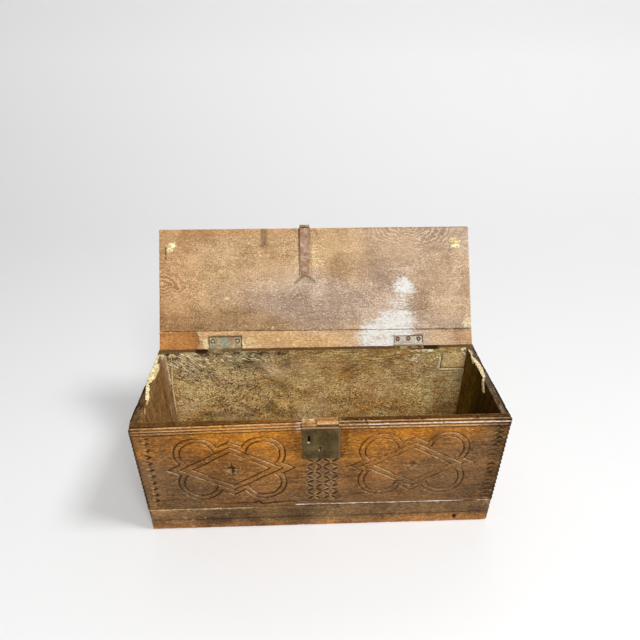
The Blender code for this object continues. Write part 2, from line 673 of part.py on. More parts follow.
def make_hasp():
    """The swinging hasp: a rolled knuckle, a cranked bar with a lift at its end, and a riveted staple."""
    third = HASP_W / 3
    mid = HASP_X
    level = staple_level()
    bottom = level - HASP_TAIL
    back_top = HASP_KNUCKLE_R - CLEAR / 2
    crank_high, crank_low = -HASP_KNUCKLE_R - HASP_T / 2, -HASP_KNUCKLE_R - 4 * HASP_T
    section = [(back_top - HASP_T, 0.0), (back_top - HASP_T, crank_high), (HASP_FACE, crank_low),
               (HASP_FACE, bottom + HASP_T), (HASP_FACE - HASP_LIFT, bottom),
               (HASP_BACK - HASP_LIFT, bottom), (HASP_BACK, bottom + HASP_T),
               (HASP_BACK, crank_low), (back_top, crank_high), (back_top, 0.0)]
    hasp = add_part("hasp", prism(section, "X", mid - HASP_W / 2, mid + HASP_W / 2), IRON, HASP_AXIS)
    neck = third / 2 - CLEAR / 2
    shoulder = -HASP_KNUCKLE_R - CLEAR
    face = [(mid - neck, HASP_KNUCKLE_R), (mid - neck, shoulder), (mid - HASP_W / 2, shoulder - HASP_T),
            (mid - HASP_W / 2, level), (mid - HASP_END_W / 2, bottom - REACH),
            (mid + HASP_END_W / 2, bottom - REACH), (mid + HASP_W / 2, level),
            (mid + HASP_W / 2, shoulder - HASP_T), (mid + neck, shoulder),
            (mid + neck, HASP_KNUCKLE_R)]
    reach = HASP_TO_FACE + REACH
    shape_by(hasp, prism(face, "Y", -reach, reach), HASP_AXIS, "INTERSECT")
    barrel = rod((mid - neck, 0.0, 0.0), (mid + neck, 0.0, 0.0), HASP_KNUCKLE_R)
    shape_by(hasp, barrel, HASP_AXIS, "UNION")
    bore = rod((mid - HASP_W, 0.0, 0.0), (mid + HASP_W, 0.0, 0.0), HASP_PIN_R + CLEAR)
    tang_tall = BOLT_H / 2
    tang_hole = block((mid - STAPLE_T / 2 - CLEAR, HASP_FACE - REACH, level - tang_tall - CLEAR),
                      (mid + STAPLE_T / 2 + CLEAR, HASP_BACK + REACH, level + tang_tall + CLEAR))
    shape_by(hasp, together([bore, tang_hole]), HASP_AXIS)

    bolt_near = HASP_TO_FACE + BOLT_Y - FRONT_Y
    eye_near, eye_far = bolt_near - BOLT_PLAY, bolt_near + BOLT_T + BOLT_PLAY
    eye_tall = BOLT_H / 2 + BOLT_PLAY
    tall = eye_tall + STAPLE_WEB
    tip = eye_far + STAPLE_WEB
    ease = STAPLE_WEB
    head, rivet = HASP_FACE - CLEAR, HASP_BACK + CLEAR
    outline = [(head - STAPLE_HEAD_T, level + tall * 0.7), (head, level + tall), (head, level + tang_tall),
               (rivet, level + tang_tall), (rivet, level + tall), (tip - ease, level + tall),
               (tip, level + tall - ease), (tip, level - tall + ease), (tip - ease, level - tall),
               (rivet, level - tall), (rivet, level - tang_tall), (head, level - tang_tall),
               (head, level - tall), (head - STAPLE_HEAD_T, level - tall * 0.7)]
    staple = prism(outline, "X", mid - STAPLE_T / 2, mid + STAPLE_T / 2)
    staple = add_part("hasp_staple", staple, IRON, HASP_AXIS)
    eye = block((mid - STAPLE_T, eye_near, level - eye_tall), (mid + STAPLE_T, eye_far, level + eye_tall))
    shape_by(staple, eye, HASP_AXIS)


def make_lock_plate():
    """The face plate, pierced for the staple and the key, and its nails."""
    plate = block((PLATE_LEFT, FRONT_Y, PLATE_TOP - PLATE_H), (PLATE_RIGHT, PLATE_BACK_Y, PLATE_TOP))
    plate = add_part("lock_plate", plate, PLATE_IRON)
    near, far = FRONT_Y - REACH, PLATE_BACK_Y + REACH
    slot = block((HASP_X - STAPLE_SLOT_W / 2, near, SLOT_Z - STAPLE_SLOT_H / 2),
                 (HASP_X + STAPLE_SLOT_W / 2, far, SLOT_Z + STAPLE_SLOT_H / 2))
    half = KEYHOLE_TAIL_W / 2
    start = math.degrees(math.asin(half / KEYHOLE_R))
    outline = corner((KEYHOLE_X, KEY_Z), KEYHOLE_R, -90 + start, 270 - start, 14)
    low = KEY_Z - KEYHOLE_R - KEYHOLE_TAIL
    outline += [(KEYHOLE_X - half, low), (KEYHOLE_X + half, low)]
    keyhole = prism(outline, "Y", near, far)
    shape_by(plate, together([slot, keyhole] + lock_nail_holes()))
    for number, seat in enumerate(lock_nail_seats(), 1):
        rose_nail(f"lock_plate_nail_{number}", seat, (0, -1, 0), LOCK_NAIL_GRIP)


def make_lock_works():
    """The works behind the plate: bolt, guides, spring, back plate and drill pin."""
    low, high = SLOT_Z - BOLT_H / 2, SLOT_Z + BOLT_H / 2
    leg_low = KEY_Z + (SLOT_Z - KEY_Z) * 0.45
    notch = BOLT_LEG_W / 4
    right = LEG_LEFT + BOLT_LEG_W
    end = GUIDE_RIGHT + GUIDE_W / 2 + BOLT_THROW + CLEAR
    outline = [(BOLT_TIP, low), (LEG_LEFT, low), (LEG_LEFT, leg_low), (LEG_LEFT + notch, leg_low),
               (LEG_LEFT + 2 * notch, leg_low + notch), (right - notch, leg_low), (right, leg_low),
               (right, low), (end, low), (end, high), (BOLT_TIP, high)]
    add_part("lock_bolt", prism(outline, "Y", BOLT_Y, BOLT_Y + BOLT_T), IRON)

    for side, x in (("left", GUIDE_LEFT), ("right", GUIDE_RIGHT)):
        tall = BOLT_H / 2 + CLEAR
        inner = BOLT_Y + BOLT_T + CLEAR
        foot = PLATE_BACK_Y + CLEAR
        outer, wide = inner + GUIDE_WALL, tall + GUIDE_WALL
        outline = [(foot, SLOT_Z + tall), (inner, SLOT_Z + tall), (inner, SLOT_Z - tall),
                   (foot, SLOT_Z - tall), (foot, SLOT_Z - wide), (outer, SLOT_Z - wide),
                   (outer, SLOT_Z + wide), (foot, SLOT_Z + wide)]
        add_part(f"bolt_guide_{side}", prism(outline, "X", x - GUIDE_W / 2, x + GUIDE_W / 2), IRON)

    spring_left, spring_right = GUIDE_LEFT + GUIDE_W, GUIDE_RIGHT - GUIDE_W
    base = high + CLEAR
    under = [(spring_right, base + SPRING_RISE)]
    under += bow(under[0], (spring_left, base + SPRING_RISE), SPRING_RISE, 10)
    over = [(x, z + SPRING_T) for x, z in reversed(under)]
    add_part("bolt_spring", prism(under + over, "Y", PLATE_BACK_Y + CLEAR, BOLT_Y + BOLT_T), IRON)

    cap_back = MORTISE_FLOOR - CLEAR
    edge = MORTISE_MARGIN / 2
    add_part("lock_back_plate", block((MORTISE_LEFT + edge, cap_back - CAP_T, MORTISE_LOW + edge),
                                      (MORTISE_RIGHT - edge, cap_back, MORTISE_TOP - edge)), IRON)
    pin_start = (KEYHOLE_X, PLATE_BACK_Y + CLEAR, KEY_Z)
    pin_end = (KEYHOLE_X, cap_back - CAP_T - CLEAR, KEY_Z)
    add_part("drill_pin", rod(pin_start, pin_end, DRILL_PIN_R, PEG_SIDES), IRON)


def add_axis(name, place, turn, parent=None):
    """An empty on a joint's axis, turned about X."""
    made = bpy.data.objects.new(name, None)
    TRUNK.objects.link(made)
    made.parent = parent
    made.location = place
    made.rotation_euler = (turn, 0.0, 0.0)
    made.empty_display_size = KNUCKLE_R
    return made


def hasp_swing():
    """Angle from hanging shut to lying back on the arris of the lid's front edge."""
    out = HASP_KNUCKLE_R + CLEAR
    up = LID_UNDER + LID_T - HASP_UP
    away = math.hypot(out, up)
    return math.pi + math.atan2(out, up) + math.asin((HASP_FACE - CLEAR) / away)


clear_scene()
TRUNK = new_collection("wooden_trunk")
TOOLS = new_collection("wooden_trunk_tools")
CARVED_OAK = new_material("carved_oak", (0.27, 0.10, 0.022), 0.5, 0.0)
DARK_OAK = new_material("dark_oak", (0.14, 0.055, 0.016), 0.55, 0.0)
PLAIN_OAK = new_material("plain_oak", (0.21, 0.09, 0.028), 0.6, 0.0)
LID_OAK = new_material("lid_oak", (0.25, 0.13, 0.055), 0.65, 0.0)
PATCH_OAK = new_material("patch_oak", (0.36, 0.17, 0.06), 0.5, 0.0)
PEG_OAK = new_material("peg_oak", (0.16, 0.065, 0.02), 0.6, 0.0)
IRON = new_material("wrought_iron", (0.07, 0.045, 0.03), 0.6, 0.8)
PLATE_IRON = new_material("plate_iron", (0.075, 0.055, 0.025), 0.5, 0.7)
AGED_BRASS = new_material("aged_brass", (0.30, 0.28, 0.20), 0.6, 0.6)
PALE_IRON = new_material("pale_iron", (0.45, 0.40, 0.33), 0.7, 0.4)
HINGES = [hinge_plan("left", -HINGE_MID, LEFT_HINGE_L, LEFT_LEAF_REACH, 2),
          hinge_plan("right", HINGE_MID, RIGHT_HINGE_L, RIGHT_LEAF_REACH, 3)]
BOX_AXIS = add_axis("box_hinge_axis", (0.0, AXIS_Y, AXIS_Z), 0.0)
LID_AXIS = add_axis("lid_axis", (0.0, AXIS_Y, AXIS_Z), -LID_OPEN)
STRAP_AXIS = add_axis("strap_axis", (0.0, -HASP_REACH, HASP_UP), 0.0, LID_AXIS)
HASP_AXIS = add_axis("hasp_axis", (0.0, -HASP_REACH, HASP_UP), -hasp_swing(), LID_AXIS)
make_front()
make_plinth()
make_sides()
make_bottom()
make_back()
make_pegs()
make_lid()
make_hinges()
make_strap()
make_hasp()
make_lock_plate()
make_lock_works()
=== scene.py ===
"""Looks of an open boarded oak trunk: carved and waxed front, dry inside, old iron and brass fittings."""
import json
import math

import bpy
import numpy as np
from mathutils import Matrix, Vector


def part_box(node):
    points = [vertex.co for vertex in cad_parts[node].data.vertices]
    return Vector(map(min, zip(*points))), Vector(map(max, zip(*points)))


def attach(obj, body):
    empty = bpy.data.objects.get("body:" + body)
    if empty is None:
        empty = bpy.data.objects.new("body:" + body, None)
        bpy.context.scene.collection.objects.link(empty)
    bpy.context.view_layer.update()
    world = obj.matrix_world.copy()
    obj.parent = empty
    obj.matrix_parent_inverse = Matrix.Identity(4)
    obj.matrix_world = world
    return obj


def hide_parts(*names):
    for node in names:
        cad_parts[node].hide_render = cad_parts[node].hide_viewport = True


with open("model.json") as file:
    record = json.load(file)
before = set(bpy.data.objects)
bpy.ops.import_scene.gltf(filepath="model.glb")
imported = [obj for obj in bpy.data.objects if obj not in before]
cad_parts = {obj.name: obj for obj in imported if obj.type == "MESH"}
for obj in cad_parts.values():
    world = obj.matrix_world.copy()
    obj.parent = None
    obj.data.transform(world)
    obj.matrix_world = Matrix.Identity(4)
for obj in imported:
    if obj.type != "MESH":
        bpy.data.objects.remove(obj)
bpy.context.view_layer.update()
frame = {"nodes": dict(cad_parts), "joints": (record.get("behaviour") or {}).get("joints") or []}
NODES = frame["nodes"]

# Bottom board: one dry oak plank, grain along the trunk, that closes the box between the four sides.
# It is planed by hand, so its faces are a little hollow and its arrises are rubbed.
# It lies flush with the lower edges of the boards round it.
GAP = 0.0003
BOTTOM_EASE = 0.0008
BOTTOM_PITCH = 0.009
SHARP_ANGLE = math.radians(38)
DRY_GOLD = (0.95, 0.65, 0.275)
DRY_BROWN = (0.27, 0.145, 0.045)
DRY = (DRY_BROWN, DRY_GOLD)
WAXED = ((0.20, 0.082, 0.022), (0.42, 0.185, 0.045))
DULL_BROWN = (0.175, 0.090, 0.033)
# The soot colour paints dirt and painted shade; the chalk, rub and cream colours paint white marks, wear
# and glue, and painted highlights too.
SOOT = (0.022, 0.012, 0.005)
CHALK = (0.80, 0.78, 0.74)
RUBBED = (0.68, 0.46, 0.25)
CREAM = (0.78, 0.69, 0.40)
TORN = (0.84, 0.70, 0.42)


def corner_value(i, j, k, seed):
    """A fixed value from 0 to 1 for each whole-number corner: the fraction of a large sine."""
    mixed = np.sin(i * 127.1 + j * 311.7 + k * 74.7 + seed * 53.3) * 43758.5453
    return mixed - np.floor(mixed)


def cloud(x, y, z, seed=0):
    """Smooth noise from 0 to 1: the eight corners round a point, weighted by 3t^2 - 2t^3 on each axis."""
    x, y, z = np.broadcast_arrays(x, y, z)
    cells = [np.floor(a) for a in (x, y, z)]
    shares = [(a - c) ** 2 * (3 - 2 * (a - c)) for a, c in zip((x, y, z), cells)]
    total = np.zeros(x.shape)
    for step in np.ndindex(2, 2, 2):
        weight = np.ones(x.shape)
        for up, share in zip(step, shares):
            weight = weight * (share if up else 1 - share)
        total += weight * corner_value(*(c + up for c, up in zip(cells, step)), seed)
    return total


def clouds(x, y, z, octaves=4, seed=0):
    """Noise from 0 to 1 with finer layers, each half as strong and twice as fine as the last."""
    total, weight = 0.0, 0.0
    for layer in range(octaves):
        scale, share = 2.0 ** layer, 0.5 ** layer
        total = total + share * cloud(x * scale, y * scale, z * scale, seed + layer)
        weight += share
    return total / weight


def fade(value, start, end):
    """Smooth step from 0 at start to 1 at end, which may run either way."""
    t = np.clip((value - start) / (end - start), 0, 1)
    return t * t * (3 - 2 * t)


def eased_section(low, high, eases, pitch, stops=((), ())):
    """Points and outward normals round a rectangle whose corners, from the low one anticlockwise, are arcs.
    Each straight stretch is cut evenly, with extra points at the stops given for each of the two axes."""
    (u0, v0), (u1, v1) = low, high
    centres = [(u0, v0, 1, 1), (u1, v0, -1, 1), (u1, v1, -1, -1), (u0, v1, 1, -1)]
    points, normals = [], []
    for side, (u, v, du, dv) in enumerate(centres):
        r = eases[side]
        angles = np.radians(180 + 90 * side + np.linspace(0, 90, 5))
        outward = np.stack([np.cos(angles), np.sin(angles)], 1)
        arc = np.array([u + du * r, v + dv * r]) + r * outward
        points.append(arc)
        normals.append(outward)
        nu, nv, eu, ev = centres[(side + 1) % 4]
        after = np.array([nu + eu * eases[(side + 1) % 4], nv + ev * eases[(side + 1) % 4]])
        axis = side % 2
        start, end = arc[-1][axis], after[axis]
        inner = np.linspace(start, end, max(2, int(abs(end - start) / pitch) + 1))[1:-1]
        inner = np.concatenate([inner,
                                [s for s in stops[axis] if min(start, end) < s < max(start, end)]])
        inner = np.sort(inner)[:: 1 if end > start else -1]
        stretch = np.tile(arc[-1], (len(inner), 1))
        stretch[:, axis] = inner
        points.append(stretch)
        normals.append(np.tile(outward[-1], (len(inner), 1)))
    return np.concatenate(points), np.concatenate(normals)


def stations(low, high, ease, pitch, stops=()):
    """Places along a board and how far its section draws in there, so that both ends are rounded off."""
    angles = np.radians([90, 60, 30, 0])
    ends = ease * (1 - np.sin(angles))
    insets = ease * (1 - np.cos(angles))
    middle = np.linspace(low + ease, high - ease, max(3, int((high - low) / pitch)))[1:-1]
    middle = np.sort(np.concatenate([middle, stops]))
    places = np.concatenate([low + ends, middle, high - ends[::-1]])
    return places, np.concatenate([insets, np.zeros(len(middle)), insets[::-1]])


def plank(low, high, along, eases, pitch, end_ease, stops=((), (), ()), cap=0):
    """A board as rings of points: an eased section carried along one axis, drawn in at both ends.
    With cap, each end is filled by that many rings, each held inside a smaller rectangle than the last.
    Also gives the outward normals and each point's distance from the nearest arris."""
    across = [a for a in range(3) if a != along]
    section, normal = eased_section([low[a] for a in across], [high[a] for a in across], eases, pitch,
                                    [stops[a] for a in across])
    places, insets = stations(low[along], high[along], end_ease, pitch, stops[along])
    rings = np.zeros((len(places), len(section), 3))
    normals = np.zeros_like(rings)
    rings[:, :, along] = places[:, None]
    for k, a in enumerate(across):
        rings[:, :, a] = section[None, :, k] - insets[:, None] * normal[None, :, k]
        normals[:, :, a] = normal[None, :, k]
    corners = [np.hypot(rings[..., across[0]] - u, rings[..., across[1]] - v)
               for u in (low[across[0]], high[across[0]]) for v in (low[across[1]], high[across[1]])]
    ends = np.minimum(rings[..., along] - low[along], high[along] - rings[..., along])
    arris = np.minimum(np.min(corners, 0), ends)
    if cap:
        bounds = np.array([[edge[a] for a in across] for edge in (low, high)])
        depths = np.linspace(end_ease, np.min(bounds[1] - bounds[0]) / 2 - 0.0004,
                             cap + 1)[1:, None, None]
        for last in (-1, 1):
            filled = np.repeat(rings[:1] if last < 0 else rings[-1:], cap, 0)
            filled[..., across] = np.clip(filled[..., across], bounds[0] + depths, bounds[1] - depths)
            facing = np.zeros_like(filled)
            facing[..., along] = last
            inward = np.repeat(depths[..., 0], filled.shape[1], 1)
            joined = [(rings, filled), (normals, facing), (arris, inward)]
            rings, normals, arris = (np.concatenate([a, b] if last > 0 else [b[::-1], a])
                                     for a, b in joined)
    return rings, normals, arris


def hand_worked(rings, normals, arris, hollow, nibble, seed):
    """Points pushed in by wide hollows of the plane and by small bites along the arrises."""
    x, y, z = np.moveaxis(rings, -1, 0)
    depth = hollow * clouds(x * 22, y * 22, z * 22, 3, seed)
    bites = fade(clouds(x * 130, y * 130, z * 130, 3, seed + 9), 0.48, 0.78)
    depth = depth + nibble * bites * np.exp(-arris / 0.0022)
    return rings - normals * depth[..., None]


def skin(name, rings, body, finish):
    """A closed piece from rings of points: quads between neighbours and one flat face over each end.
    Rings with one more axis are many such tubes in one piece."""
    tubes, count, around = rings.reshape(-1, *rings.shape[-3:]).shape[:3]
    start = np.arange(tubes)[:, None] * count * around
    ring = start[..., None] + np.arange(count - 1)[None, :, None] * around
    step = np.arange(around)
    after = (step + 1) % around
    quads = np.stack([ring + step, ring + after, ring + around + after, ring + around + step],
                     -1).reshape(-1, 4)
    flat = rings.reshape(-1, 3)
    a, b, c, d = (flat[quads[:, k]] for k in range(4))
    volume = (np.einsum("ij,ij->i", a, np.cross(b, c)).sum()
              + np.einsum("ij,ij->i", a, np.cross(c, d)).sum())
    first, last = start + step[::-1], start + (count - 1) * around + step
    if volume < 0:
        quads, first, last = quads[:, ::-1], first[:, ::-1], last[:, ::-1]
    corners = np.concatenate([quads.ravel(), first.ravel(), last.ravel()]).astype(np.int32)
    starts = np.concatenate([np.arange(len(quads)) * 4, len(quads) * 4 + np.arange(2 * tubes) * around])
    mesh = bpy.data.meshes.new(name)
    mesh.vertices.add(len(flat))
    mesh.vertices.foreach_set("co", flat.astype(np.float32).ravel())
    mesh.loops.add(len(corners))
    mesh.loops.foreach_set("vertex_index", corners)
    mesh.polygons.add(len(starts))
    mesh.polygons.foreach_set("loop_start", starts.astype(np.int32))
    mesh.update(calc_edges=True)
    mesh.shade_smooth()
    mesh.set_sharp_from_angle(angle=SHARP_ANGLE)
    mesh.materials.append(finish)
    made = bpy.data.objects.new(name, mesh)
    bpy.context.scene.collection.objects.link(made)
    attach(made, body)
    return made


def note(piece, **values):
    """Give a piece's points named values, which its finish reads: shares from 0 to 1, or a length s."""
    for name, value in values.items():
        spread = (np.broadcast_to(value, (len(piece.data.vertices),)) if np.ndim(value) == 0
                  else np.ravel(value))
        layer = piece.data.attributes.new(name, "FLOAT", "POINT")
        layer.data.foreach_set("value", np.clip(spread, -1, 1).astype(np.float32))


def new_finish(name):
    """An empty node material with its shader."""
    made = bpy.data.materials.new(name)
    made.use_nodes = True
    return made, made.node_tree, made.node_tree.nodes["Principled BSDF"]


def add(tree, kind, settings=None, **inputs):
    """A node with its settings, and its inputs set or linked by name."""
    made = tree.nodes.new("ShaderNode" + kind)
    for key, value in (settings or {}).items():
        setattr(made, key, value)
    for key, value in inputs.items():
        plug(tree, made.inputs[key], value)
    return made


def plug(tree, socket, value):
    """Link a socket to another one, or set its value."""
    if isinstance(value, bpy.types.NodeSocket):
        tree.links.new(value, socket)
    else:
        socket.default_value = value


def mapped(tree, scale, vector=None):
    """Object coordinates, or a given vector, stretched by a scale on each axis."""
    vector = vector or add(tree, "TexCoord").outputs["Object"]
    return add(tree, "Mapping", Vector=vector, Scale=scale).outputs["Vector"]


def noise(tree, vector, scale, detail=3.0, roughness=0.55):
    """Noise from about 0 to 1."""
    return add(tree, "TexNoise", Vector=vector, Scale=scale, Detail=detail,
               Roughness=roughness).outputs["Fac"]


def span(tree, value, low, high, to_low=0.0, to_high=1.0):
    """A value moved from one range to another and held inside it."""
    made = add(tree, "MapRange", {"clamp": True}, Value=value)
    for key, bound in (("From Min", low), ("From Max", high), ("To Min", to_low), ("To Max", to_high)):
        made.inputs[key].default_value = bound
    return made.outputs["Result"]


def calc(tree, operation, first, second=0.5):
    """A sum, by its name, of two values."""
    made = tree.nodes.new("ShaderNodeMath")
    made.operation = operation
    plug(tree, made.inputs[0], first)
    plug(tree, made.inputs[1], second)
    return made.outputs[0]


def times(tree, first, second):
    """One value times another."""
    return calc(tree, "MULTIPLY", first, second)


def plus(tree, first, second):
    """One value and another."""
    return calc(tree, "ADD", first, second)


def less(tree, first, second):
    """One value less another."""
    return calc(tree, "SUBTRACT", first, second)


def tint(tree, share, first, second, mode="MIX"):
    """One colour laid over another by a share."""
    made = tree.nodes.new("ShaderNodeMix")
    made.data_type = "RGBA"
    made.blend_type = mode
    plug(tree, made.inputs[0], share)
    plug(tree, made.inputs[6], first if isinstance(first, bpy.types.NodeSocket) else (*first, 1.0))
    plug(tree, made.inputs[7], second if isinstance(second, bpy.types.NodeSocket) else (*second, 1.0))
    return made.outputs[2]


def marked(tree, name):
    """A value that the piece's own points carry."""
    return add(tree, "Attribute", {"attribute_name": name}).outputs["Fac"]


def oak_finish(name, along, dry, waxed, speckle=0.5, streaks=1.0, figure=55.0, wax_rough=0.40,
               clouded=0.2, pepper=0.2, crisp=(0.25, 440.0, 0.8), knots=(), plain_out=False):
    """Oak with its grain along one axis, dry inside and waxed outside: figure, streaks, fibres and pores.
    The points' own marks lay dull, grey, warm, torn, wavy, rubbed, sooty, creamy and chalky places over it.
    The soot mark also lays painted shade, and the rub, cream and chalk marks also lay painted highlights.
    Each knot is a place, a stretch, a reach and a step of wavy rings, in the board's own x and s.
    With plain_out, the outside is planed: straight figure only, with little stipple."""
    made, tree, shader = new_finish(name)
    place = add(tree, "TexCoord").outputs["Object"]
    sway = tree.nodes.new("ShaderNodeVectorMath")
    sway.operation = "MULTIPLY_ADD"
    plug(tree, sway.inputs[0],
         add(tree, "TexNoise", Vector=place, Scale=5.0, Detail=2.0).outputs["Color"])
    sway.inputs[1].default_value = (0.035, 0.035, 0.035)
    plug(tree, sway.inputs[2], place)

    def drawn(share, vector):
        """A vector drawn out along the grain."""
        return mapped(tree, tuple(share if a == along else 1.0 for a in range(3)), vector)

    long_grain = drawn(0.06, sway.outputs[0])
    short_grain = drawn(0.14, sway.outputs[0])
    rings = span(tree, noise(tree, long_grain, figure, 6.0, 0.62), 0.38, 0.62)
    streak = span(tree, noise(tree, long_grain, 260.0, 4.0, 0.65), 0.36, 0.64)
    fibre = span(tree, noise(tree, short_grain, 760.0, 3.0, 0.6), 0.34, 0.66)
    pores = span(tree, noise(tree, short_grain, 520.0, 2.0), 0.55, 0.68)
    stipple = drawn(0.72, place)
    specks = span(tree, noise(tree, stipple, 300.0, 3.0, 0.7), 0.52, 0.64)
    shifted = add(tree, "Mapping", Vector=stipple, Location=(7.0, 3.0, 5.0)).outputs["Vector"]
    lights = span(tree, noise(tree, shifted, 310.0, 3.0), 0.54, 0.66)
    dashes = span(tree, noise(tree, drawn(0.5, place), 330.0, 2.0), 0.38, 0.62, 1.0, 0.0)
    blotch = span(tree, noise(tree, place, 14.0, 5.0, 0.62), 0.36, 0.64)
    wide = clouded + 0.16 * (1 - streaks)
    parts = ((rings, 0.30 * streaks), (streak, 0.32 * streaks), (fibre, 0.16), (blotch, wide),
             (pores, -0.22 * streaks), (lights, 0.45 * speckle))
    grain = 0.5 - 0.31 * streaks - 0.08 - wide / 2 + 0.03 * streaks - 0.09 * speckle
    for part, share in parts:
        grain = plus(tree, times(tree, part, share), grain)
    grain = span(tree, grain, 0.16, 0.84)
    for knot_x, knot_s, stretch, reach, step in knots:
        spread = add(tree, "SeparateXYZ", Vector=sway.outputs[0])
        aside = calc(tree, "DIVIDE", less(tree, spread.outputs["X"], knot_x + 0.0175), stretch)
        above = less(tree, marked(tree, "s"), knot_s)
        away = calc(tree, "POWER", plus(tree, times(tree, aside, aside), times(tree, above, above)))
        away = plus(tree, away, span(tree, noise(tree, place, 40.0, 2.0), 0.3, 0.7, -0.005, 0.005))
        wave = span(tree, calc(tree, "PINGPONG", away, step), 0.30 * step, step, 0.15, 1.0)
        near = span(tree, away, reach * 0.45, reach, 0.95, 0.0)
        grain = plus(tree, times(tree, grain, less(tree, 1.0, near)), times(tree, wave, near))
    outside = marked(tree, "outer")
    if plain_out:
        inside = less(tree, 1.0, outside)
        straight = plus(tree, times(tree, rings, 0.55), times(tree, streak, 0.30))
        straight = plus(tree, straight, times(tree, fibre, 0.15))
        grain = plus(tree, times(tree, grain, inside), times(tree, straight, outside))
        rough_share = span(tree, outside, 0.0, 1.0, 1.0, 0.2)
        specks, dashes = (times(tree, part, rough_share) for part in (specks, dashes))
    colour = tint(tree, outside, tint(tree, grain, *dry), tint(tree, grain, *waxed))
    colour = tint(tree, times(tree, lights, 0.30 * speckle), colour, (1.0, 0.86, 0.66), "SOFT_LIGHT")
    layers = (("dull", tuple(c * 0.42 for c in DULL_BROWN), tuple(c * 1.75 for c in DULL_BROWN)),
              ("grey", (0.30, 0.208, 0.148), (0.79, 0.625, 0.50)),
              ("warm", (0.24, 0.080, 0.014), (0.66, 0.285, 0.070)))
    for mark, dark, light in layers:
        colour = tint(tree, marked(tree, mark), colour, tint(tree, grain, dark, light))
    colour = tint(tree, times(tree, dashes, 0.75 * speckle), colour, (0.62, 0.55, 0.46), "MULTIPLY")
    colour = tint(tree, times(tree, specks, pepper), colour, (0.40, 0.32, 0.22), "MULTIPLY")
    slanted = mapped(tree, (0.22, 1.0, 1.0),
                     add(tree, "Mapping", Vector=sway.outputs[0], Rotation=(0.0, -0.62, 0.0)).outputs[0])
    thread = calc(tree, "ABSOLUTE", less(tree, noise(tree, slanted, 120.0, 3.0, 0.6), 0.5))
    thread = times(tree, span(tree, thread, 0.012, 0.040, 1.0, 0.0), marked(tree, "torn"))
    colour = tint(tree, thread, colour, TORN)
    wavy = drawn(0.15, sway.outputs[0])
    ripple = calc(tree, "ABSOLUTE", less(tree, noise(tree, wavy, 150.0, 3.0, 0.6), 0.5))
    ripple = times(tree, span(tree, ripple, 0.015, 0.085, 1.0, 0.0), marked(tree, "hewn"))
    colour = tint(tree, times(tree, ripple, 0.75), colour, tuple(c * 0.8 for c in DRY_BROWN))
    colour = tint(tree, times(tree, marked(tree, "rub"), span(tree, blotch, 0.0, 0.7, 0.4, 1.0)),
                  colour, RUBBED)
    colour = tint(tree, marked(tree, "soot"), colour, SOOT)
    share, fineness, stretch = crisp
    grit = noise(tree, drawn(stretch, place), fineness, 1.5)
    gritty = tree.nodes.new("ShaderNodeVectorMath")
    gritty.operation = "SCALE"
    plug(tree, gritty.inputs[0], colour)
    patchy = span(tree, noise(tree, place, 24.0, 3.0), 0.36, 0.64, 0.55, 1.35)
    patchy = times(tree, patchy, span(tree, marked(tree, "hewn"), 0.2, 0.9, 1.0, 0.55))
    if plain_out:
        patchy = times(tree, patchy, rough_share)
    grit = times(tree, span(tree, grit, 0.38, 0.62, -share, share), patchy)
    plug(tree, gritty.inputs["Scale"], plus(tree, grit, 1.0))
    colour = gritty.outputs[0]
    for mark, paint in (("cream", CREAM), ("chalk", CHALK)):
        share = marked(tree, mark)
        flaky = plus(tree, share, span(tree, dashes, 0.0, 1.0, 0.16, -0.34))
        flaky = span(tree, plus(tree, flaky, span(tree, streak, 0.0, 1.0, -0.22, 0.16)), 0.10, 0.92)
        colour = tint(tree, times(tree, flaky, span(tree, share, 0.0, 0.1)), colour, paint)
    tree.links.new(colour, shader.inputs["Base Color"])
    rough = span(tree, outside, 0.0, 1.0, 0.80, wax_rough)
    tree.links.new(plus(tree, rough, span(tree, grain, 0.0, 1.0, 0.10, -0.08)),
                   shader.inputs["Roughness"])
    relief = less(tree, times(tree, fibre, 0.4), times(tree, pores, 0.6 * streaks))
    relief = less(tree, relief, times(tree, dashes, 0.4 * speckle))
    relief = less(tree, relief, times(tree, specks, 0.6 * pepper))
    relief = plus(tree, relief, times(tree, thread, 0.8))
    bump = add(tree, "Bump", Height=relief, Strength=0.5, Distance=0.0010)
    tree.links.new(bump.outputs["Normal"], shader.inputs["Normal"])
    clean = span(tree, marked(tree, "soot"), 0.0, 0.6, 1.0, 0.1)
    tree.links.new(times(tree, clean, span(tree, outside, 0.0, 1.0, 0.06, 0.16)),
                   shader.inputs["Specular IOR Level"])
    return made


INNER_OAK = oak_finish("inner_oak_lengthways", 0, DRY, WAXED, speckle=0.8, streaks=0.5,
                       pepper=0.4, crisp=(0.35, 440.0, 0.8))
bottom_low, bottom_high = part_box("bottom_board")
rings, normals, arris = plank(bottom_low, bottom_high, 0, (BOTTOM_EASE,) * 4, BOTTOM_PITCH, BOTTOM_EASE)
rings = hand_worked(rings, normals, arris, 0.0004, 0.0006, 3)
bottom = skin("bottom_plank", rings, "box", INNER_OAK)
x, y, z = np.moveaxis(rings, -1, 0)
corner_dirt = np.exp(-np.minimum(np.minimum(x - bottom_low.x, bottom_high.x - x),
                                 np.minimum(y - bottom_low.y, bottom_high.y - y)) / 0.02)
note(bottom, soot=0.10 + 0.55 * corner_dirt * clouds(x * 60, y * 60, z, 3, 5), outer=0.0)
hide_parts("bottom_board")
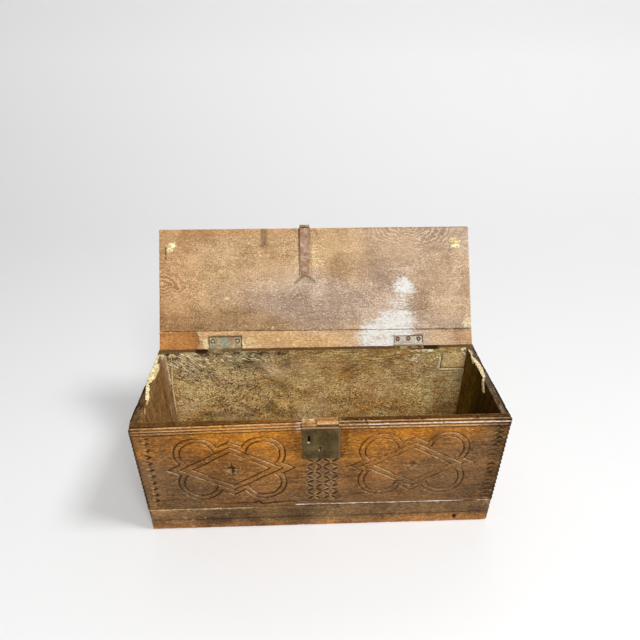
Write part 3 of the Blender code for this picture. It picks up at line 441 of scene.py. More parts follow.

# Side boards: two oak boards with upright grain, pegged between the front and back boards.
# Their outer faces are waxed, their inner faces dry, and the right one is stained nearly black inside.
# Painted shade darkens both inner faces towards the front, most on the right.
# The rims are scraped pale where old stays and paper were stuck down.
SIDE_EASE = 0.0012
SIDE_PITCH = 0.0028
GLUE_ENDS = {"left": -0.066, "right": -0.016}
SIDE_DARK = (0.15, 0.076, 0.022)
SIDE_MID = (0.56, 0.33, 0.13)
SIDE_OAK = {side: oak_finish(f"{side}_side_oak", 2, dry, WAXED, speckle=0.4, streaks=0.8,
                             crisp=(0.42, 420.0, 0.22), plain_out=True) for side,
            dry in (("left", (SIDE_DARK, SIDE_MID)),
                    ("right", ((0.078, 0.043, 0.004), (0.37, 0.240, 0.036))))}
for side, sign in (("left", -1), ("right", 1)):
    low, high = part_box(f"{side}_side_board")
    rings, normals, arris = plank(low, high, 2, (SIDE_EASE,) * 4, SIDE_PITCH, SIDE_EASE, cap=6)
    rings = hand_worked(rings, normals, arris, 0.0003, 0.0014, 11 + sign)
    top = fade(rings[..., 2], high.z - 0.003, high.z - 0.0012)
    rings[..., 2] -= 0.0014 * top * fade(rings[..., 1], GLUE_ENDS[side], GLUE_ENDS[side] + 0.012)
    board = skin(f"{side}_side_plank", rings, "box", SIDE_OAK[side])
    x, y, z = np.moveaxis(rings, -1, 0)
    inner_x = low.x if sign > 0 else high.x
    inside = fade(np.abs(x - inner_x), 0.004, 0.0005)
    rim = fade(z, high.z - 0.004, high.z - 0.0008)
    flakes = fade(clouds(x * 110, y * 60, z * 60, 3, 21 + sign), 0.36, 0.58)
    across = np.abs(x - inner_x)
    glued = (rim * flakes * np.where(sign < 0, fade(y, -0.002, 0.010),
                                     fade(y, -0.004, 0.010) * fade(across, 0.008, 0.004)))
    near_front = fade(y, low.y + 0.09, low.y + 0.01)
    # Painted shade on the inner faces: darker towards the front and low down by the front board, and more
    # on the right.
    shade = 0.28 + 0.50 * fade(y, 0.085, -0.01) if sign > 0 else 0.06
    soot = inside * (1 - rim) * (shade + (1 - shade) * 0.48 * near_front * fade(z, 0.268, 0.22))
    dirt = (0.58 + 0.28 * fade(clouds(x * 140, y * 50, z * 50, 3, 23 + sign), 0.4, 0.6)
            + 0.38 * fade(across, 0.0095, 0.0135))
    soot = np.maximum(soot, rim * (dirt if sign < 0 else dirt - 0.05) * (1 - glued))
    pale_back = inside * fade(y, high.y - 0.045, high.y - 0.008) * (1 if sign < 0 else 0.12)
    corner_line = (inside * fade(np.abs(y - high.y + 0.0065), 0.0050, 0.002) * fade(z, 0.165, 0.20)
                   * (sign < 0))
    edge = np.exp(-arris / 0.0016)
    handled = ((1 - inside) * (1 - rim)
               * (0.22 * fade(clouds(x * 20, y * 20, z * 14, 4, 27 + sign), 0.45, 0.70)
                  + 0.25 * fade(z, 0.05, 0.0)))
    board_rub = (0.30 * edge * rim * flakes * fade(across, 0.006, 0.002) + 0.30 * edge * (1 - inside)
                 * (1 - rim) + 0.9 * corner_line)
    board_grey = np.maximum(0.42 * pale_back * fade(clouds(x * 50, y * 50, z * 25, 3, 25), 0.3, 0.6),
                            rim * (0.30 + 0.35 * flakes) * (1 - 0.80 * (sign < 0) * fade(y, 0.0, -0.03)))
    note(board, outer=1 - np.maximum(inside, rim), soot=soot * (1 - 0.8 * corner_line) + handled,
         rub=board_rub, grey=board_grey, warm=inside * near_front * (0.25 if sign < 0 else 0.35),
         dull=(1 - inside) * 0.55, cream=(0.50 if sign < 0 else 0.62) * glued)
    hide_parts(f"{side}_side_board")

# Back board: one wide oak board lapped over the ends of the sides and pegged to them.
# Its inner face is dry, golden and flecked with dark, its outer face is waxed and dull. Its colours are
# painted lighter against the shade inside, most at the right end, and its top edge carries painted shadow.
# The hinge leaves are let into its top edge, and a repair is let into its inner face at the right.
BACK_EASE = 0.0012
BACK_PITCH = 0.0024
STEP_EDGE = 0.00004
LEAF_SINK = 0.0016 + GAP
SCRATCH = ((-0.326, 0.1008), (-0.307, 0.1047), (-0.293, 0.1222), (-0.253, 0.1416), (-0.214, 0.1579),
           (-0.190, 0.1743), (-0.159, 0.1931))


def to_line(u, v, start, end):
    """Distance of points from the straight line between two points."""
    du, dv = end[0] - start[0], end[1] - start[1]
    t = np.clip(((u - start[0]) * du + (v - start[1]) * dv) / (du * du + dv * dv), 0, 1)
    return np.hypot(u - start[0] - t * du, v - start[1] - t * dv)


def spot(u, v, centre, reach):
    """A soft round or oval place: 1 at its middle and 0 past its reach on each axis."""
    return np.clip(1 - np.hypot((u - centre[0]) / reach[0], (v - centre[1]) / reach[1]), 0, 1)


def both_sides(*edges):
    """Two places close to each edge, so that a step there stays upright."""
    return [edge + side * STEP_EDGE for edge in edges for side in (-1, 1)]


back_low, back_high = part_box("back_board")
patch_low, patch_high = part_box("back_patch")
leaf_boxes = [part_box(f"{side}_hinge_box_leaf") for side in ("left", "right")]
leaf_edges = [edge for a, b in leaf_boxes for edge in (a.x - GAP, b.x + GAP)]
leaf_front = min(a.y for a, b in leaf_boxes) - GAP
x_stops = both_sides(*leaf_edges, patch_low.x - GAP, patch_high.x + GAP)
rings, normals, arris = plank(back_low, back_high, 0, (BACK_EASE,) * 4, BACK_PITCH, BACK_EASE,
                              (x_stops, both_sides(leaf_front),
                               both_sides(patch_low.z - GAP, patch_high.z + GAP)))
rings = hand_worked(rings, normals, arris, 0.0004, 0.0012, 31)
x, y, z = np.moveaxis(rings, -1, 0)
for a, b in leaf_boxes:
    let_in = (x > a.x - GAP) & (x < b.x + GAP) & (y > leaf_front)
    z[let_in] = np.minimum(z[let_in], back_high.z - LEAF_SINK)
inner = y < back_low.y + 0.003
let_in = (inner & (x > patch_low.x - GAP) & (x < patch_high.x + GAP)
          & (z > patch_low.z - GAP) & (z < patch_high.z + GAP))
y[let_in] = patch_high.y + GAP
# Its dry colours are painted light: lifted nearly to white to make up for the shade inside the box.
BACK_OAK = oak_finish("back_oak", 0, ((0.57, 0.312, 0.097), (1.0, 0.80, 0.355)), WAXED, speckle=0.8,
                      streaks=0.30, clouded=0.46, pepper=0.62, crisp=(0.58, 450.0, 0.7), plain_out=True)
back = skin("back_plank", rings, "box", BACK_OAK)
inside = fade(y, back_low.y + 0.004, back_low.y + 0.001)
scratch = np.min([to_line(x, z, *ends) for ends in zip(SCRATCH[:-1], SCRATCH[1:])], 0)
dotted = fade(np.abs(x + 0.2150), 0.0030, 0.0010) * fade(z, 0.10, 0.11) * fade(z, 0.168, 0.155)
grime = fade(clouds(x * 26, y * 26, z * 34, 4, 12), 0.46, 0.72)
upper_left = np.clip(spot(x, z, (-0.255, 0.250), (0.13, 0.075))
                     + spot(x, z, (-0.145, 0.250), (0.07, 0.04)), 0, 1)
under_pale = (fade(np.abs(z - 0.176 - 0.006 * np.sin(x * 70) + 0.05 * (x + 0.2)), 0.007, 0.002)
              * fade(x, -0.27, -0.24) * fade(x, -0.12, -0.15))
under_pale *= fade(clouds(x * 60, y, z * 80, 3, 17), 0.35, 0.55)
dark_knot = spot(x, z, (-0.120, 0.195), (0.034, 0.016))
# A darker band along the top of the inner face.
sheltered = fade(z, back_high.z - 0.016, back_high.z - 0.004)
rust_spot = spot(x, z, (-0.118, 0.188), (0.05, 0.03)) + 0.8 * spot(x, z, (0.02, 0.238), (0.10, 0.03))
gaps = fade(x, 0.200, 0.206) * fade(x, 0.272, 0.262) + fade(x, -0.268, -0.262) * fade(x, -0.235, -0.240)
pale = (spot(x, z, (-0.205, 0.194), (0.085, 0.026)) + 0.8 * spot(x, z, (-0.10, 0.215), (0.06, 0.016))
        + 0.6 * spot(x, z, (-0.06, 0.235), (0.14, 0.03)) + 0.6 * spot(x, z, (0.13, 0.165), (0.10, 0.05))
        + 0.7 * spot(x, z, (-0.305, 0.135), (0.05, 0.06)))
swirl = clouds(x * 8, y, z * 10, 2, 91)
mottle = clouds(x * 30 + 5 * swirl, y, z * 52 + 6 * swirl, 3, 92)
curls = clouds(x * 52 + 9 * swirl, y, z * 96 + 12 * swirl, 3, 93)
at_left = fade(x, -0.02, -0.10)
# Painted light: the right end, shaded by the right side board, is painted paler.
right_end = spot(x, z, (0.305, 0.165), (0.085, 0.085)) ** 0.6
brown = fade(mottle, 0.54, 0.74) * (1 + 0.4 * at_left) + 0.8 * at_left * fade(curls, 0.55, 0.72)
light = fade(mottle, 0.47, 0.28) * (1 + 0.4 * at_left) + 0.8 * at_left * fade(curls, 0.46, 0.30)
back_dull = (1 - inside) * 0.70 + inside * 0.16 * fade(clouds(x * 18, y, z * 22, 3, 14), 0.5, 0.7)
# Painted shadow darkens the top edge under the lid, most where the hinges leave gaps; inside, the face is
# also darker low down and in both inner corners.
back_soot = np.maximum(fade(z, back_high.z - 0.0025, back_high.z - 0.0010) * (0.50 + 0.48 * gaps),
                       (1 - inside) * (0.22 * grime + 0.25 * fade(z, 0.05, 0.0))
                       + inside * np.clip(0.07 * grime + 0.29 * brown + 0.30 * under_pale
                                          + fade(upper_left, 0.1, 0.7) * (0.21 + 0.28 * grime)
                                          + 0.6 * dark_knot * grime
                                          + 0.16 * fade(scratch, 0.0060, 0.0020)
                                          + 0.5 * dotted * fade(clouds(x * 90, z * 150, 0 * x, 2, 16),
                                                                0.4, 0.6) + 0.6 * sheltered * grime
                                          + 0.30 * fade(z, 0.08, 0.03)
                                          + 0.30 * np.exp(-(back_high.x - 0.0155 - np.abs(x)) / 0.006),
                                          0, 0.85))
back_grey = (inside
             * np.clip(0.08 * fade(upper_left, 0.0, 0.5)
                       + 0.26 * fade(clouds(x * 11, y, z * 14, 3, 15), 0.5, 0.7), 0, 0.6))
back_torn = (inside * np.maximum(fade(upper_left, 0.05, 0.45),
                                 0.26 * fade(x, 0.0, -0.10) * fade(clouds(x * 20, y, z * 26, 3, 18),
                                                                   0.42, 0.62)))
back_hewn = (inside * fade(x, -0.24, -0.05) * (0.15 + 0.85 * fade(z, 0.15, 0.22))
             * fade(clouds(x * 16, y, z * 24, 3, 19), 0.25, 0.50))
back_rub = inside * 0.85 * np.clip(pale, 0, 1) + (1 - inside) * 0.35 * np.exp(-arris / 0.0015)
back_cream = (inside * np.clip(0.9 * fade(np.hypot((x - 0.1767) / 1.5, z - 0.2614), 0.0045, 0.0015)
                               + 0.26 * light + 0.36 * right_end, 0, 0.9))
back_chalk = (inside
              * (0.34 * spot(x, z, (0.225, 0.249), (0.03, 0.012))
                 + 0.30 * spot(x, z, (0.07, 0.228), (0.035, 0.01))))
note(back, outer=1 - inside, dull=back_dull, soot=back_soot, grey=back_grey,
     warm=inside * 0.35 * np.clip(rust_spot, 0, 1), torn=back_torn, hewn=back_hewn, rub=back_rub,
     cream=back_cream, chalk=back_chalk)
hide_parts("back_board")

# Splinters: pale fibres that tore up when the back was hewn and still stand on its inner face.
# They run down to the right below the left hinge, and cross one another in the rough place beside it.
# Each is a sliver of the board itself, bowed and pinched off at both ends.
SPLINTER_HALF = 0.0008


def slivers(count, centre, reach, lean, spread, length, seed):
    """Rings of many slivers: an oval drawn along a bowed line on the inner face and pinched at its ends.
    Fixed random values give each its place in an oval, its lean, length, bow and width."""
    draw = [corner_value(np.arange(count)[:, None], 3.0 * k, 7.0, seed) for k in range(6)]
    out, at = np.sqrt(draw[0]), 2 * np.pi * draw[1]
    size, turn = length * (0.4 + 0.9 * draw[2]), lean + spread * (draw[3] - 0.5)
    t = np.linspace(-0.5, 0.5, 9)[None, :]
    bow = (draw[4] - 0.5) * 4 * t * t
    half = SPLINTER_HALF * (0.45 + draw[5]) * np.sqrt(np.clip(1 - 4 * t * t, 0.02, 1))
    round_it = np.linspace(0, 2 * np.pi, 7)[:-1]
    aside = half[..., None] * np.cos(round_it)
    u = centre[0] + reach[0] * out * np.cos(at) + size * (t * np.cos(turn) - 0.5 * bow * np.sin(turn))
    v = centre[1] + reach[1] * out * np.sin(at) + size * (t * np.sin(turn) + 0.5 * bow * np.cos(turn))
    return np.stack(np.broadcast_arrays(u[..., None] - aside * np.sin(turn)[..., None],
                                        back_low.y + 0.0002 - 0.9 * half[..., None] * np.sin(round_it),
                                        np.minimum(v[..., None] + aside * np.cos(turn)[..., None],
                                                   back_high.z - 0.0012)), -1)


torn_places = {"pale_splinters": ((0.36, 0.24, 0.10), (0.98, 0.86, 0.58),
                                  ((64, (-0.276, 0.242), (0.045, 0.026), -0.62, 0.5, 0.024, 21),
                                   (26, (-0.222, 0.254), (0.045, 0.010), -0.35, 0.7, 0.014, 22),
                                   (14, (-0.140, 0.256), (0.035, 0.010), -0.35, 0.8, 0.012, 23),
                                   (22, (0.224, 0.246), (0.032, 0.012), -0.4, 1.6, 0.010, 24),
                                   (24, (0.238, 0.2655), (0.034, 0.003), 0.0, 0.8, 0.009, 29))),
               "dull_splinters": ((0.40, 0.26, 0.10), (0.95, 0.74, 0.40),
                                  ((130, (-0.165, 0.138), (0.060, 0.046), 0.9, 1.3, 0.012, 25),
                                   (50, (-0.306, 0.145), (0.018, 0.060), -0.9, 1.2, 0.010, 26),
                                   (70, (-0.225, 0.205), (0.085, 0.030), -0.3, 1.6, 0.011, 27),
                                   (70, (0.120, 0.150), (0.170, 0.080), 0.1, 1.4, 0.009, 28))),
               "dark_splinters": ((0.035, 0.020, 0.007), (0.17, 0.095, 0.035),
                                  ((120, (-0.165, 0.138), (0.060, 0.046), 0.7, 1.6, 0.009, 35),
                                   (60, (-0.275, 0.225), (0.050, 0.034), -0.62, 0.6, 0.016, 36),
                                   (70, (-0.215, 0.195), (0.100, 0.040), -0.2, 1.6, 0.010, 37),
                                   (110, (0.100, 0.160), (0.200, 0.085), 0.1, 1.4, 0.007, 38)))}
for name, (dark, light, groups) in torn_places.items():
    SPLINTER, tree, shader = new_finish(name)
    mottle = noise(tree, add(tree, "TexCoord").outputs["Object"], 140.0, 3.0)
    tree.links.new(tint(tree, span(tree, mottle, 0.36, 0.60), dark, light), shader.inputs["Base Color"])
    shader.inputs["Roughness"].default_value = 0.85
    shader.inputs["Specular IOR Level"].default_value = 0.1
    skin(name, np.concatenate([slivers(*group) for group in groups]), "box", SPLINTER)

# Base rail: an oak rail under the carved board, proud of it by a shaving, with eased arrises.
# One fine line is scratched along its face, and it is grimy from floors and hands. A painted highlight runs
# along the left part of its top arris.
# It is pegged through to the bottom board and the sides.
RAIL_PITCH = 0.0026
RAIL_ROUND = 0.0025
RAIL_LINE_Z = 0.027
RAIL_LINE_DEPTH = 0.0007
DENT = (0.274, 0.0140)
rail_low, rail_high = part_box("plinth_rail")
rings, normals, arris = plank(rail_low, rail_high, 0, (RAIL_ROUND, 0.0006, 0.0006, RAIL_ROUND),
                              RAIL_PITCH, 0.0012, ((), (), (RAIL_LINE_Z,)))
rings = hand_worked(rings, normals, arris, 0.0004, 0.0016, 41)
x, y, z = np.moveaxis(rings, -1, 0)
face = fade(y, rail_low.y + 0.0035, rail_low.y + 0.0012)
y += face * RAIL_LINE_DEPTH * np.clip(1 - np.abs(z - RAIL_LINE_Z) / 0.0013, 0, 1)
y += face * 0.003 * spot(x, z, DENT, (0.004, 0.005)) ** 0.5
RAIL_OAK = oak_finish("rail_oak", 0, DRY, ((0.130, 0.070, 0.027), (0.330, 0.195, 0.082)), speckle=0.7,
                      streaks=0.6, wax_rough=0.5, clouded=0.45, pepper=0.35, crisp=(0.28, 420.0, 0.40))
rail = skin("base_rail", rings, "box", RAIL_OAK)
stain = (spot(x, z, (-0.14, 0.024), (0.14, 0.035)) ** 0.6
         * fade(clouds(x * 30, y, z * 50, 4, 47), 0.25, 0.6))
rail_soot = (face * (0.42 * stain + 0.95 * fade(spot(x, z, DENT, (0.005, 0.008)), 0.05, 0.4)
                     + 0.9 * fade(spot(x, z, (rail_low.x, 0.050), (0.005, 0.012)), 0.1, 0.4)
                     + 0.06 * fade(x, 0.0, 0.15) + 0.4 * fade(np.abs(z - RAIL_LINE_Z), 0.0016, 0.0004)))
rail_warm = (face
             * np.clip(0.80 * fade(z, 0.018 + 0.010 * fade(x, 0, 0.1), 0.010)
                       * fade(clouds(x * 14, y, z * 40, 3, 48), 0.20, 0.45)
                       + 0.15 * spot(x, z, (0.22, 0.022), (0.12, 0.018)) + 0.12 * fade(x, -0.22, -0.27),
                       0, 1))
# Painted highlight along the top arris at the left.
rail_rub = (0.85 * face * fade(z, rail_high.z - 0.0020, rail_high.z - 0.0008)
            * (0.5 + 0.5 * cloud(x * 40, y, z, 5)) * fade(x, -0.125, -0.150))
rail_cream = (face
              * np.maximum(0.5 * fade(cloud(x * 230, y, z * 230, 49), 0.84, 0.93)
                           * fade(x, -0.15, -0.25),
                           0.45 * fade(z, rail_high.z - 0.0020, rail_high.z - 0.0008)
                           * fade(x, -0.14, -0.16) * fade(x, -0.31, -0.27)))
rail_dull = face * (0.35 * fade(z, 0.01, 0.04) + 0.5 * fade(z, 0.048, 0.055) * fade(x, -0.15, -0.12))
note(rail, outer=fade(y, rail_high.y - 0.004, rail_high.y - 0.008), soot=rail_soot, warm=rail_warm,
     rub=rail_rub, cream=rail_cream, dull=rail_dull)
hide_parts("plinth_rail")

# Carved front board: a thick oak board, reeded along its top edge and then carved by hand.
# Two lozenges of strapwork, in V cuts, run into four lobes; chips, gouge nicks and stars fill the rest.
# It is pegged to the sides, and it is cut for the lock, the strap and a repair of its rim. Its colours hold
# painted highlights where it faces the light, and painted shade on the rim top and along the foot.
FACE_PITCH_X = 0.00147
FACE_PITCH_Z = 0.00129
REED_W = 0.0071
TOP_REED_W = 0.0070
REED_DEPTH = 0.0014
CUT_HALF_W = 0.0021
CUT_DEPTH = 0.0022
PANEL_LEFT = (-0.1708, 0.1624)
PANEL_RIGHT = (0.1737, 0.1630)
LOZENGES = ((0.1201, 0.0690), (0.0975, 0.0565), (0.0733, 0.0437))
LOBE_AT = (0.0610, 0.0375)
LOBE_OUT = 0.0420
LOBE_IN = 0.0316
CHIP_LEFT, CHIP_RIGHT = -0.0297, 0.0325
CHIP_LOW, CHIP_HIGH = 0.0740, 0.1855
CHIP_COLUMNS, CHIP_ROWS = 4, 10
CHIP_DEPTH = 0.0030
BORDER_X = 0.3225
BORDER_LOW, BORDER_HIGH = 0.0660, 0.2560
NICK_PITCH = 0.0107
ARROW_ROWS, CRESCENT_ROWS = 11.5, 16.5
CHIP_LEAN = math.radians(33)
STAR_BEND = 0.62
STAR_DEPTH = 0.0036
DOTS = ((0.0200, 0.0), (0.0, 0.0185), (0.0090, 0.0105))
DOT_R, DOT_DEPTH = 0.0025, 0.0014
WORKS_GAP = 0.00125


def most(*shares):
    """The largest of several values at each point."""
    return np.max(np.broadcast_arrays(*shares), 0)


def v_cut(distance, half_width=CUT_HALF_W, depth=CUT_DEPTH):
    """Depth of a V cut: straight from its line to nothing at half its width."""
    return depth * np.clip(1 - distance / half_width, 0, 1)


def inside_lozenge(u, v, size):
    """Below 1 inside a lozenge of the given half width and half height, above 1 outside it."""
    return np.abs(u) / size[0] + np.abs(v) / size[1]


def strapwork(x, z, centre, star_reach):
    """Three lozenges one inside the other, the outer one open to four round lobes of two lines each.
    Each line is a V cut along a straight edge or a circle, kept where the strap passes over."""
    u, v = np.abs(x - centre[0]), np.abs(z - centre[1])
    lobe = np.hypot(u - LOBE_AT[0], v - LOBE_AT[1])
    outer, middle, inner = (to_line(u, v, (a, 0.0), (0.0, b)) for a, b in LOZENGES)
    star = (u ** STAR_BEND + v ** STAR_BEND) ** (1 / STAR_BEND)
    return most(v_cut(inner), v_cut(middle), v_cut(outer) * (lobe > LOBE_OUT - 0.001),
                v_cut(np.abs(lobe - LOBE_OUT)) * (inside_lozenge(u, v, LOZENGES[0]) > 0.985),
                v_cut(np.abs(lobe - LOBE_IN)) * (inside_lozenge(u, v, LOZENGES[1]) > 1.06),
                STAR_DEPTH * np.clip(1 - star / star_reach, 0, 1) ** 0.7,
                *(v_cut(np.hypot(u - du, v - dv), DOT_R, DOT_DEPTH) for du, dv in DOTS))


def leaf_chips(x, z, grow=0.0):
    """Rows of leaf-shaped chips that lean left and right in turn, so that the wood between is a net.
    With grow, each leaf is larger by that much all round."""
    wide = (CHIP_RIGHT - CHIP_LEFT) / CHIP_COLUMNS
    tall = (CHIP_HIGH - CHIP_LOW) / CHIP_ROWS
    column, row = np.floor((x - CHIP_LEFT) / wide), np.floor((z - CHIP_LOW) / tall)
    lean = np.where((column + row) % 2 == 0, 1.0, -1.0) * CHIP_LEAN
    u = x - CHIP_LEFT - (column + 0.5) * wide
    v = z - CHIP_LOW - (row + 0.5) * tall
    along, off = u * np.cos(lean) + v * np.sin(lean), v * np.cos(lean) - u * np.sin(lean)
    half = (0.0037 + grow) * np.clip(1 - (along / (0.0088 + 1.5 * grow)) ** 2, 0, 1)
    leaf = np.clip(1 - np.abs(off + 0.0006) / np.maximum(half, 1e-5), 0, 1)
    within = (column >= 0) & (column < CHIP_COLUMNS) & (row >= 0) & (row < CHIP_ROWS)
    return CHIP_DEPTH * leaf * within


def border_cuts(x, z):
    """Down the left edge a row of arrow nicks, each two tapered chips, down the right a row of crescents.
    At the top of the right row short cuts cross the crescents."""
    tall = (BORDER_HIGH - BORDER_LOW) / ARROW_ROWS
    row = np.floor((BORDER_HIGH - z) / tall)
    u, v = x + BORDER_X - 0.004 + 0.004 * row / 11, BORDER_HIGH - (row + 0.5) * tall - z
    taper = np.clip(0.35 + (u + 0.0090) / 0.0110, 0.25, 1.0)
    arrow = np.minimum(to_line(u, v, (-0.0066, -0.0048), (0.0038, 0.0002)),
                       to_line(u, v, (0.0038, 0.0002), (-0.0040, 0.0042)) * 1.15)
    left = 0.0030 * np.clip(1 - arrow / (0.0028 * taper), 0, 1)
    small = (BORDER_HIGH - BORDER_LOW) / CRESCENT_ROWS
    row = np.floor((BORDER_HIGH - z) / small)
    u = x - BORDER_X - 0.0006 - 0.0060 * row / 16
    v = z - BORDER_HIGH + (row + 0.62) * small
    bow = np.abs(np.hypot(u * 0.85, v + 0.0088) - 0.0118)
    right = v_cut(bow, 0.0030 * (1 - 0.4 * np.abs(u) / 0.0095), 0.0030) * fade(np.abs(u), 0.0090, 0.0052)
    crossing = np.minimum(to_line(u, v, (-0.002, -0.004), (0.0120, 0.0045)),
                          to_line(u, v, (-0.002, 0.0045), (0.0120, -0.004)))
    right = np.maximum(right, v_cut(crossing, 0.0022, 0.0020) * (z > 0.212))
    band = (z > BORDER_LOW) & (z < BORDER_HIGH)
    return np.where(x < 0, left, right) * band


def arris_nicks(x, z, end):
    """Small notches at even steps down the two upright arrises."""
    step = np.abs((z / NICK_PITCH) % 1 - 0.5) * NICK_PITCH
    return 0.0036 * np.clip(1 - step / 0.0034, 0, 1) * np.clip(1 - (end - np.abs(x)) / 0.0050, 0, 1)


def reed(start, end, rise, count=9):
    """Points of a reed: a parabola of the given rise to the left of the way from start to end."""
    start, end = np.array(start), np.array(end)
    t = np.linspace(0, 1, count)[:, None]
    along = (end - start) / np.hypot(*(end - start))
    return start + (end - start) * t + np.array([-along[1], along[0]]) * rise * 4 * t * (1 - t)


front_low, front_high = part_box("front_board")
face_y, rim_z, in_y = front_low.y, front_high.z, front_high.y
plate_low, plate_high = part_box("lock_plate")
works_low, works_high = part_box("lock_back_plate")
strap_low, strap_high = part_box("hasp_strap")
edge_low, edge_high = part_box("front_edge_patch")
pegs = [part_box(f"front_peg_{side}_{number}") for side in ("left", "right") for number in (1, 2, 3)]
grooves_z = [rim_z - REED_DEPTH - k * REED_W for k in range(3)]
face_top = grooves_z[2] - REED_DEPTH / 2
z_rows = np.linspace(front_low.z + 0.0008, face_top, int((face_top - front_low.z) / FACE_PITCH_Z))
z_edges = [plate_low.z - GAP, works_low.z - WORKS_GAP, works_high.z + WORKS_GAP]
z_rows = z_rows[np.min(np.abs(z_rows[:, None] - np.array(z_edges)), 1) > 0.0004]
z_rows = np.sort(np.concatenate([z_rows, both_sides(*z_edges)]))
rebate_y, rebate_z = edge_high.y + GAP, edge_low.z - GAP
moulding = np.concatenate([reed((face_y + REED_DEPTH, grooves_z[2]), (face_y + REED_DEPTH, grooves_z[1]),
                                REED_DEPTH),
                           reed((face_y + REED_DEPTH, grooves_z[1]), (face_y + REED_DEPTH, grooves_z[0]),
                                REED_DEPTH)[1:],
                           reed((face_y + REED_DEPTH, grooves_z[0]),
                                (face_y + REED_DEPTH + TOP_REED_W, grooves_z[0]), REED_DEPTH)[1:],
                           [[face_y + REED_DEPTH * 1.5 + TOP_REED_W, rim_z - 0.0002]]])
rim_flat = np.stack([np.linspace(face_y + REED_DEPTH * 1.5 + TOP_REED_W + 0.001, in_y - 0.001, 6),
                     np.full(6, rim_z)], 1)
inner_face = np.stack([np.full(7, in_y), np.linspace(rim_z - 0.001, front_low.z + 0.001, 7)], 1)
under = np.stack([np.linspace(in_y - 0.001, face_y + 0.001, 3), np.full(3, front_low.z)], 1)
face_line = np.stack([np.full(len(z_rows), face_y), z_rows], 1)
loop = np.concatenate([face_line, moulding, rim_flat, inner_face, under])
x_edges = [plate_low.x - GAP, plate_high.x + GAP, works_low.x - WORKS_GAP, works_high.x + WORKS_GAP,
           edge_low.x - GAP, edge_high.x + GAP, strap_low.x - 2 * GAP, strap_high.x + 2 * GAP]
places, insets = stations(front_low.x, front_high.x, 0.0008, FACE_PITCH_X)
keep = np.min(np.abs(places[:, None] - np.array(x_edges)), 1) > 0.0004
places = np.concatenate([places[keep], both_sides(*x_edges)])
insets = np.concatenate([insets[keep], np.zeros(2 * len(x_edges))])[np.argsort(places)]
places = np.sort(places)
ahead = np.roll(loop, -1, 0) - np.roll(loop, 1, 0)
outward = np.stack([-ahead[:, 1], ahead[:, 0]], 1) / np.hypot(*ahead.T)[:, None]
rings = np.zeros((len(places), len(loop), 3))
rings[..., 0] = places[:, None]
rings[..., 1:] = loop[None] - insets[:, None, None] * outward[None]
x, y, z = np.moveaxis(rings, -1, 0)
rows = slice(0, len(z_rows))
mould = slice(len(z_rows), len(z_rows) + len(moulding))
fx, fz = x[:, rows], z[:, rows]
wander = [0.0011 * (cloud(fx * 45, fz * 45, 0 * fx, seed) - 0.5) for seed in (51, 52)]
hand = 0.72 + 0.45 * clouds(fx * 28, fz * 28, 0 * fx, 2, 53)
cut = np.maximum(strapwork(fx + wander[0], fz + wander[1], PANEL_LEFT, 0.0185),
                 strapwork(fx + wander[0], fz + wander[1], PANEL_RIGHT, 0.0155))
cut = np.maximum(cut, leaf_chips(fx + wander[0] * 1.3, fz + wander[1] * 1.3))
cut = np.maximum(cut, border_cuts(fx + wander[0], fz + wander[1])) * hand
cut = np.maximum(cut, arris_nicks(fx, fz, front_high.x) * fade(fz, face_top, face_top - 0.004))
splits = [((0.298, 0.2107), (0.3445, 0.2085)), ((0.0345, 0.1626), (0.056, 0.1622)),
          ((-0.0600, 0.1662), (-0.038, 0.1660)), ((0.305, 0.072), (0.343, 0.0705))]
for start, end in splits:
    cut = np.maximum(cut, v_cut(to_line(fx, fz + wander[1], start, end), 0.0012, 0.0010))
crack = [(-0.172, 0.0680), (-0.160, 0.0690), (-0.138, 0.0686), (-0.1320, 0.0692), (-0.1275, 0.0738),
         (-0.1225, 0.0728), (-0.1185, 0.0655), (-0.103, 0.0668), (-0.092, 0.0680), (-0.083, 0.0690),
         (-0.063, 0.0712), (-0.050, 0.0690)]
from_crack = np.min([to_line(fx, fz + wander[1], *ends) for ends in zip(crack[:-1], crack[1:])], 0)
cracked = (fade(from_crack, 0.0024, 0.0009)
           * (0.62 + 0.38 * fade(fx, -0.130, -0.118) * fade(fx, -0.070, -0.090)))
cut = np.maximum(cut, v_cut(from_crack, 0.0020, 0.0030))
# Painted highlight: a pale line along the foot of the carved face, like a lit arris above the rail.
line_up = front_low.z + 0.0036 - 0.0012 * fade(fx, 0.0, 0.30)
low_line = np.zeros(x.shape)
low_line[:, rows] = (fade(np.abs(fz - line_up), 0.0019, 0.0007) * fade(fx, -0.058, -0.046)
                     * (0.7 + 0.3 * cloud(fx * 60, fz, 0 * fx, 55)))
low_line[:, rows] *= (1 - 0.85 * fade(np.abs(fx - 0.298), 0.014, 0.008))
hollow = 0.0003 * clouds(fx * 25, fz * 25, 0 * fx, 3, 54)
depth = cut + hollow * (1 - np.clip(cut / 0.0005, 0, 1) * 0.5)
for low, high in pegs:
    from_peg = np.hypot(fx - (low.x + high.x) / 2, fz - (low.z + high.z) / 2)
    depth = np.maximum(depth, 0.0006 * fade(from_peg, 0.0048, 0.0036))
behind_plate = (fx > plate_low.x - GAP) & (fx < plate_high.x + GAP) & (fz > plate_low.z - GAP)
depth = np.where(behind_plate, plate_high.y - face_y + GAP, depth)
in_mortise = ((fx > works_low.x - WORKS_GAP) & (fx < works_high.x + WORKS_GAP)
              & (fz > works_low.z - WORKS_GAP) & (fz < works_high.z + WORKS_GAP))
depth = np.where(in_mortise, works_high.y - face_y + GAP, depth)
y[:, rows] += depth
plated = (places > plate_low.x - GAP) & (places < plate_high.x + GAP)
recess_y, recess_z = plate_high.y + GAP, plate_high.z + GAP
y[plated, mould] = np.where(z[plated, mould] < recess_z, np.maximum(y[plated, mould], recess_y),
                            y[plated, mould])
patched = (places > edge_low.x - GAP) & (places < edge_high.x + GAP)
turn = int(len(moulding) * 0.55)
